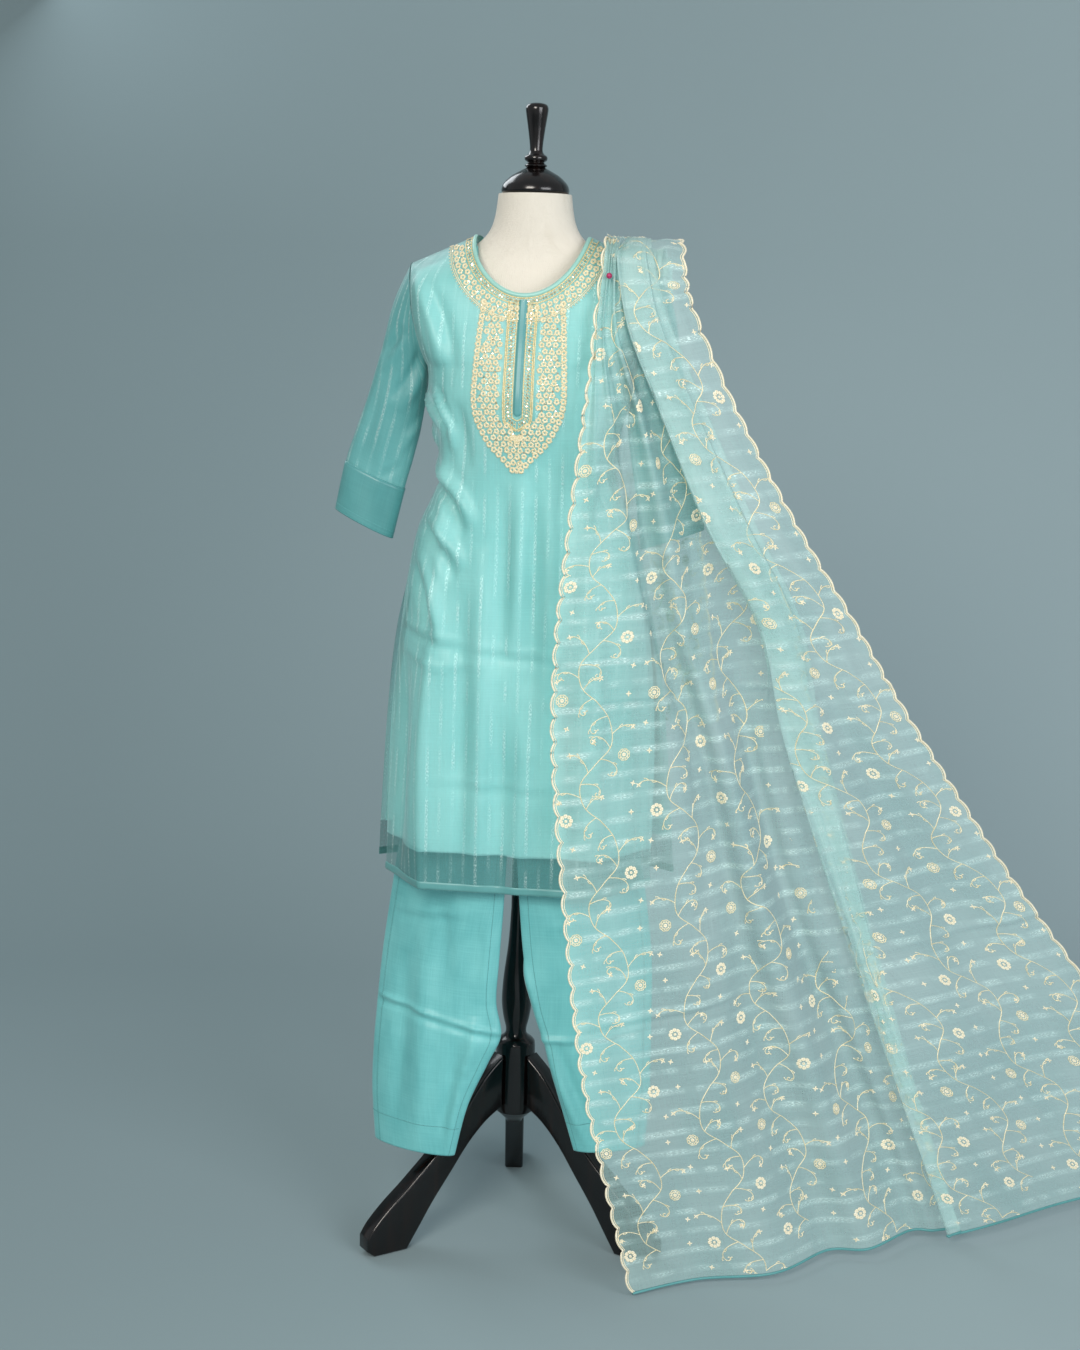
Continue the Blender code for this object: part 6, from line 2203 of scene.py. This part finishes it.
    @staticmethod
    def tendril(foot: Array, heading: float, length: float, hand: int, curl: float) -> Array:
        """Return a shoot that sets off along a heading and winds up at its tip.

        Args:
            foot: where it starts.
            heading: which way it sets off, in radians.
            length: how long it is.
            hand: 1 to wind anticlockwise, -1 clockwise.
            curl: how many half turns its tip makes.

        Returns:
            Its path.
        """
        share = np.linspace(0, 1, 22)[1:]
        angles = heading + hand * math.pi * (0.30 * share + curl * share**3)
        steps = around(angles) * (1.12 - 0.72 * share**2)[:, None]
        return np.concatenate([foot[None], foot + np.cumsum(steps, 0) * length / 21])

    def embroider(self, name: str, cloth: Cloth, shift: float) -> None:
        """Work the vines over a cloth.

        Args:
            name: the cloth's name.
            cloth: the cloth.
            shift: how far the repeats start along it.
        """
        gold, cream = Stitching(), Stitching()
        low, high = cloth.flat[..., 0].min(), cloth.flat[..., 0].max()
        end = cloth.flat[..., 1].max()
        columns = max(int(round((high - low) / self.vine_pitch)), 1)
        pitch = (high - low) / columns
        for k in range(columns):
            for j in range(int(end / self.vine_repeat) + 2):
                foot = np.array((low + (k + 0.5) * pitch, shift + (j - 0.5 * (k % 2)) * self.vine_repeat))
                self.vine(gold, cream, foot, 1 if k % 2 else -1, (j + k) % 2)
        surface = Lookup(cloth, 0.003)
        for label, work, finish in (("stems", gold, ZARI_THREAD), ("blooms", cream, CORD_THREAD)):
            work.sewn(f"{name}_{label}", finish, surface, 0.0)

    def shoulder_layers(self) -> Cloth:
        """Return the folded stack over the shoulder, one cloth turned back and forth."""
        k = self.kameez
        shares = np.linspace(-1, 1, 45)
        xs = np.linspace(self.stacks[0].x, self.stacks[-1].x, 30)
        rows = []
        for share in shares:
            side = Facing.FRONT if share <= 0 else Facing.BACK
            held = np.minimum(xs, self.held_to)
            z = k.shoulder(held) - abs(share) * self.stack_drops[0 if share <= 0 else 1]
            skin = k.skin(side, held / k.half_width(side, z), z)
            skin[:, 0] = xs
            rows.append(skin)
        base = np.array(rows)
        # the panels' two sides meet in a seam on the shoulder, so the cloth is eased over it
        for _ in range(6):
            base[1:-1] = (base[:-2] + base[1:-1] * 2 + base[2:]) / 4
        normals = Cloth(base, base[..., :2], facing=(0, 0, 1)).normals()
        thick = read_table(self.stacks, "thickness", xs)
        turns = np.linspace(0, self.layers, self.layers * 24 + 1)
        layer = np.minimum(turns.astype(int), self.layers - 1)
        part = turns - layer
        rng = np.random.default_rng(self.seed)
        reach = 1 - rng.uniform(0, 0.14, self.layers + 1)
        swing = (1 - np.cos(part * math.pi)) / 2
        swing = np.where(layer % 2 == 0, swing, 1 - swing)
        right = reach[layer] * (1 - part) + reach[layer + 1] * part
        across = swing * right
        height = (layer + 0.5 + np.clip((part - 0.88) / 0.12, 0, 1)) / (self.layers + 0.5)
        height = np.clip(height, 0, 1)
        place = across * (len(xs) - 1)
        held = blended(base.swapaxes(0, 1), place).swapaxes(0, 1)
        out = unit(blended(normals.swapaxes(0, 1), place).swapaxes(0, 1))
        lift = (self.stack_lift + blended(thick, place) * height)[None, :]
        lift = lift + 0.0012 * np.sin(shares[:, None] * 5 + layer * 1.7)
        points = held + out * (lift - 0.001)[..., None]
        flat = np.stack([lengths(points, 1), 0 * lift + shares[:, None] * 0.075], -1)
        return Cloth(points, flat, facing=(0, 0, 1))

    def back(self) -> Cloth:
        """Return the back fall, in pleats that open downwards."""
        columns = self.pleats * 2 + 1
        stations = []
        for row in self.backs:
            x = np.linspace(row.near_x, row.far_x, columns)
            wave = row.pleat * (-1.0) ** np.arange(columns)
            stations.append(np.stack([x, row.depth - 0.10 * (x - row.near_x) + wave, 0 * x + row.z], 1))
        rows = through(np.array(stations), 36)
        points = np.swapaxes(through(np.swapaxes(rows, 0, 1), 10), 0, 1)
        run = lengths(points, 0).mean(1)
        even = np.arange(0, run[-1], self.step)
        points = blended(points, np.interp(run[-1] - even, run, np.arange(len(run))))
        over = lengths(points, 1)
        flat = np.stack([over, even[:, None] + 0 * over], -1)
        rng = np.random.default_rng(3)
        lift = np.zeros(over.shape)
        share = np.linspace(0, 1, over.shape[1])[None, :]
        opened = np.clip(even / 0.5, 0.3, 1)[:, None]
        for at in np.linspace(0.05, 0.95, 12):
            bend = at + 0.01 * np.sin(even * 7 + at * 9)[:, None]
            lift += rng.normal(0, 0.0022) * gauss((share - bend) / 0.018) * opened
        return self.scalloped(Cloth(points, flat, facing=(0, 1, 0)).pressed(lift))

    def build(self) -> None:
        """Add the dupatta's three parts, its edges, its embroidery, its piping and its pin."""
        front = self.fall()
        item = front.added("dupatta_front_fall", DUPATTA_ORGANZA, turn=0.0)
        stands_for(item, "dupatta_front")
        self.add_edges("dupatta_front", front)
        self.embroider("dupatta_front", front, 0.055)
        # the stack is folded in the dress frame's turn, the rest of the dupatta in the post's own
        stack = self.shoulder_layers().added("dupatta_shoulder_folds", FOLDED_ORGANZA)
        stands_for(stack, "dupatta_shoulder")
        back = self.back()
        item = back.added("dupatta_back_fall", DUPATTA_ORGANZA, turn=0.0)
        stands_for(item, "dupatta_back")
        self.add_edges("dupatta_back", back)
        self.embroider("dupatta_back", back, 0.08)
        hem = front.points[0] - (0, 0, 0.0026)
        piping = tube("dupatta_end_piping", hem, 0.0020, SATIN_BINDING_AND_CUFF_SHADE, 10, 0.0)
        stands_for(piping, "dupatta_piping")
        self.add_pin()
        LOG.info("dupatta: %d points in front, %d behind", front.points.size // 3, back.points.size // 3)

    def add_pin(self) -> None:
        """Add the round-headed pin."""
        low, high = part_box("shoulder_pin")
        middle = (np.array(low) + np.array(high)) / 2 - (AXIS_X, AXIS_Y, 0)
        radius = (high[0] - low[0]) / 2
        rise = np.linspace(-math.pi / 2, math.pi / 2, 17)[:, None]
        turns = np.linspace(0, math.tau, 33)
        wide = np.maximum(radius * np.cos(rise), 0.0)
        rings = np.stack([wide * np.cos(turns), wide * np.sin(turns), radius * np.sin(rise) + 0 * turns], -1)
        head = Cloth(rings + middle, rings[..., :2], ring=True).added("pin_head", GLASS_BEAD, turn=0.0)
        stands_for(head, "shoulder_pin")


def joined(name: str, parts: Sequence[Item]) -> Item:
    """Join pieces of one finish into one."""
    first = parts[0]
    with bpy.context.temp_override(active_object=first, selected_editable_objects=list(parts)):
        bpy.ops.object.join()
    first.name = first.data.name = name
    return first


# The studio


@dataclass(frozen=True)
class Studio:
    """A curved backdrop with painted shade, soft lights and the camera.

    Args:
        distance: how far in front of the post the camera stands.
        height: the camera's height.
        aside: how far it stands to the side.
        pitch: how far it looks down, in degrees.
        roll: how far it is rolled, in degrees.
        lens: its focal length, in millimetres.
        lens: its focal length, in millimetres.
        floor: how far the floor reaches in front of the post, and behind it.
        bend: the radius of the curve from the floor to the wall.
        wall: how high the backdrop is.
        side: how far it reaches to each side.
        target: what the lights look at, about the post.
    """

    distance: float = 3.00
    height: float = 1.40
    aside: float = 0.0237
    pitch: float = 10.0
    roll: float = 1.4
    lens: float = 54.05
    floor: tuple[float, float] = (-8.0, 1.2)
    bend: float = 1.6
    wall: float = 5.0
    side: float = 8.0
    target: tuple[float, float, float] = (0.1, 0.0, 0.85)

    def build(self) -> None:
        """Add the backdrop, the lights and the camera."""
        near, far = self.floor
        arc = np.linspace(0, math.pi / 2, 24)
        curved = np.stack([far + self.bend * np.sin(arc), self.bend - self.bend * np.cos(arc)], 1)
        line = np.concatenate([[(near, 0.0), (far, 0.0)], curved[1:], [(far + self.bend, self.wall)]])
        x = np.linspace(-self.side, self.side, 3)[None, :]
        points = np.stack([x + 0 * line[:, :1], line[:, :1] + 0 * x, line[:, 1:] + 0 * x - 0.0005], -1)
        mesh = bpy.data.meshes.new("backdrop")
        mesh.from_pydata(points.reshape(-1, 3).tolist(), [], cell_corners(*points.shape[:2]).tolist())
        mesh.materials.append(STUDIO_PAPER_PAINTED_SHADE.material())
        mesh.shade_smooth()
        backdrop = bpy.data.objects.new("backdrop", mesh)
        bpy.context.scene.collection.objects.link(backdrop)
        lights = [
            self.light("key", (-1.3, -3.9, 2.9), 1.7, 122.0, "#fff7ee"),
            self.light("fill", (2.6, -3.4, 2.1), 2.4, 98.0, "#fbfbff"),
            self.light("rim", (-1.6, 1.9, 2.9), 1.6, 30.0, "#f4faff"),
        ]
        self.light_the_room()
        self.add_camera()
        LOG.info("studio: backdrop, %d lights, camera", len(lights))

    def light(
        self, name: str, place: tuple[float, float, float], size: float, power: float, colour: str
    ) -> Item:
        """Return a new soft light that looks at the suit.

        Args:
            name: its name.
            place: where it stands, about the post.
            size: the side of its square face.
            power: its power in watts.
            colour: its colour.

        Returns:
            The light.
        """
        lamp = bpy.data.lights.new(name, "AREA")
        lamp.size, lamp.energy, lamp.color = size, power, linear(colour)[:3]
        item = bpy.data.objects.new(name, lamp)
        item.location = Vector(place) + Vector((AXIS_X, AXIS_Y, 0))
        target = Vector(self.target) + Vector((AXIS_X, AXIS_Y, 0))
        item.rotation_euler = (target - item.location).to_track_quat("-Z", "Y").to_euler()
        bpy.context.scene.collection.objects.link(item)
        return item

    def light_the_room(self) -> None:
        """Set the pale, even light of the room."""
        world = bpy.data.worlds.new("room")
        world.use_nodes = True
        sky = world.node_tree.nodes["Background"]
        sky.inputs["Color"].default_value = linear("#e6eef2")
        sky.inputs["Strength"].default_value = 0.46
        bpy.context.scene.world = world

    def add_camera(self) -> None:
        """Add the camera and use it."""
        camera = bpy.data.cameras.new("camera")
        camera.lens = self.lens
        item = bpy.data.objects.new("camera", camera)
        place = Matrix.Translation((AXIS_X + self.aside, AXIS_Y - self.distance, self.height))
        look = Matrix.Rotation(math.radians(90 - self.pitch), 4, "X")
        item.matrix_world = place @ look @ Matrix.Rotation(math.radians(self.roll), 4, "Z")
        bpy.context.scene.collection.objects.link(item)
        bpy.context.scene.camera = item


def main() -> None:
    """Build the suit, its stand and the studio."""
    logging.basicConfig(level=logging.INFO, format="%(name)s: %(message)s")
    bpy.context.scene.cycles.transparent_max_bounces = 24
    bpy.context.scene.view_settings.view_transform = "Standard"
    Stand().build()
    DressForm().build()
    kameez = Kameez()
    kameez.build()
    Sleeves(kameez).build()
    Trousers().build()
    Dupatta(kameez).build()
    Studio().build()


if __name__ == "__main__":
    main()
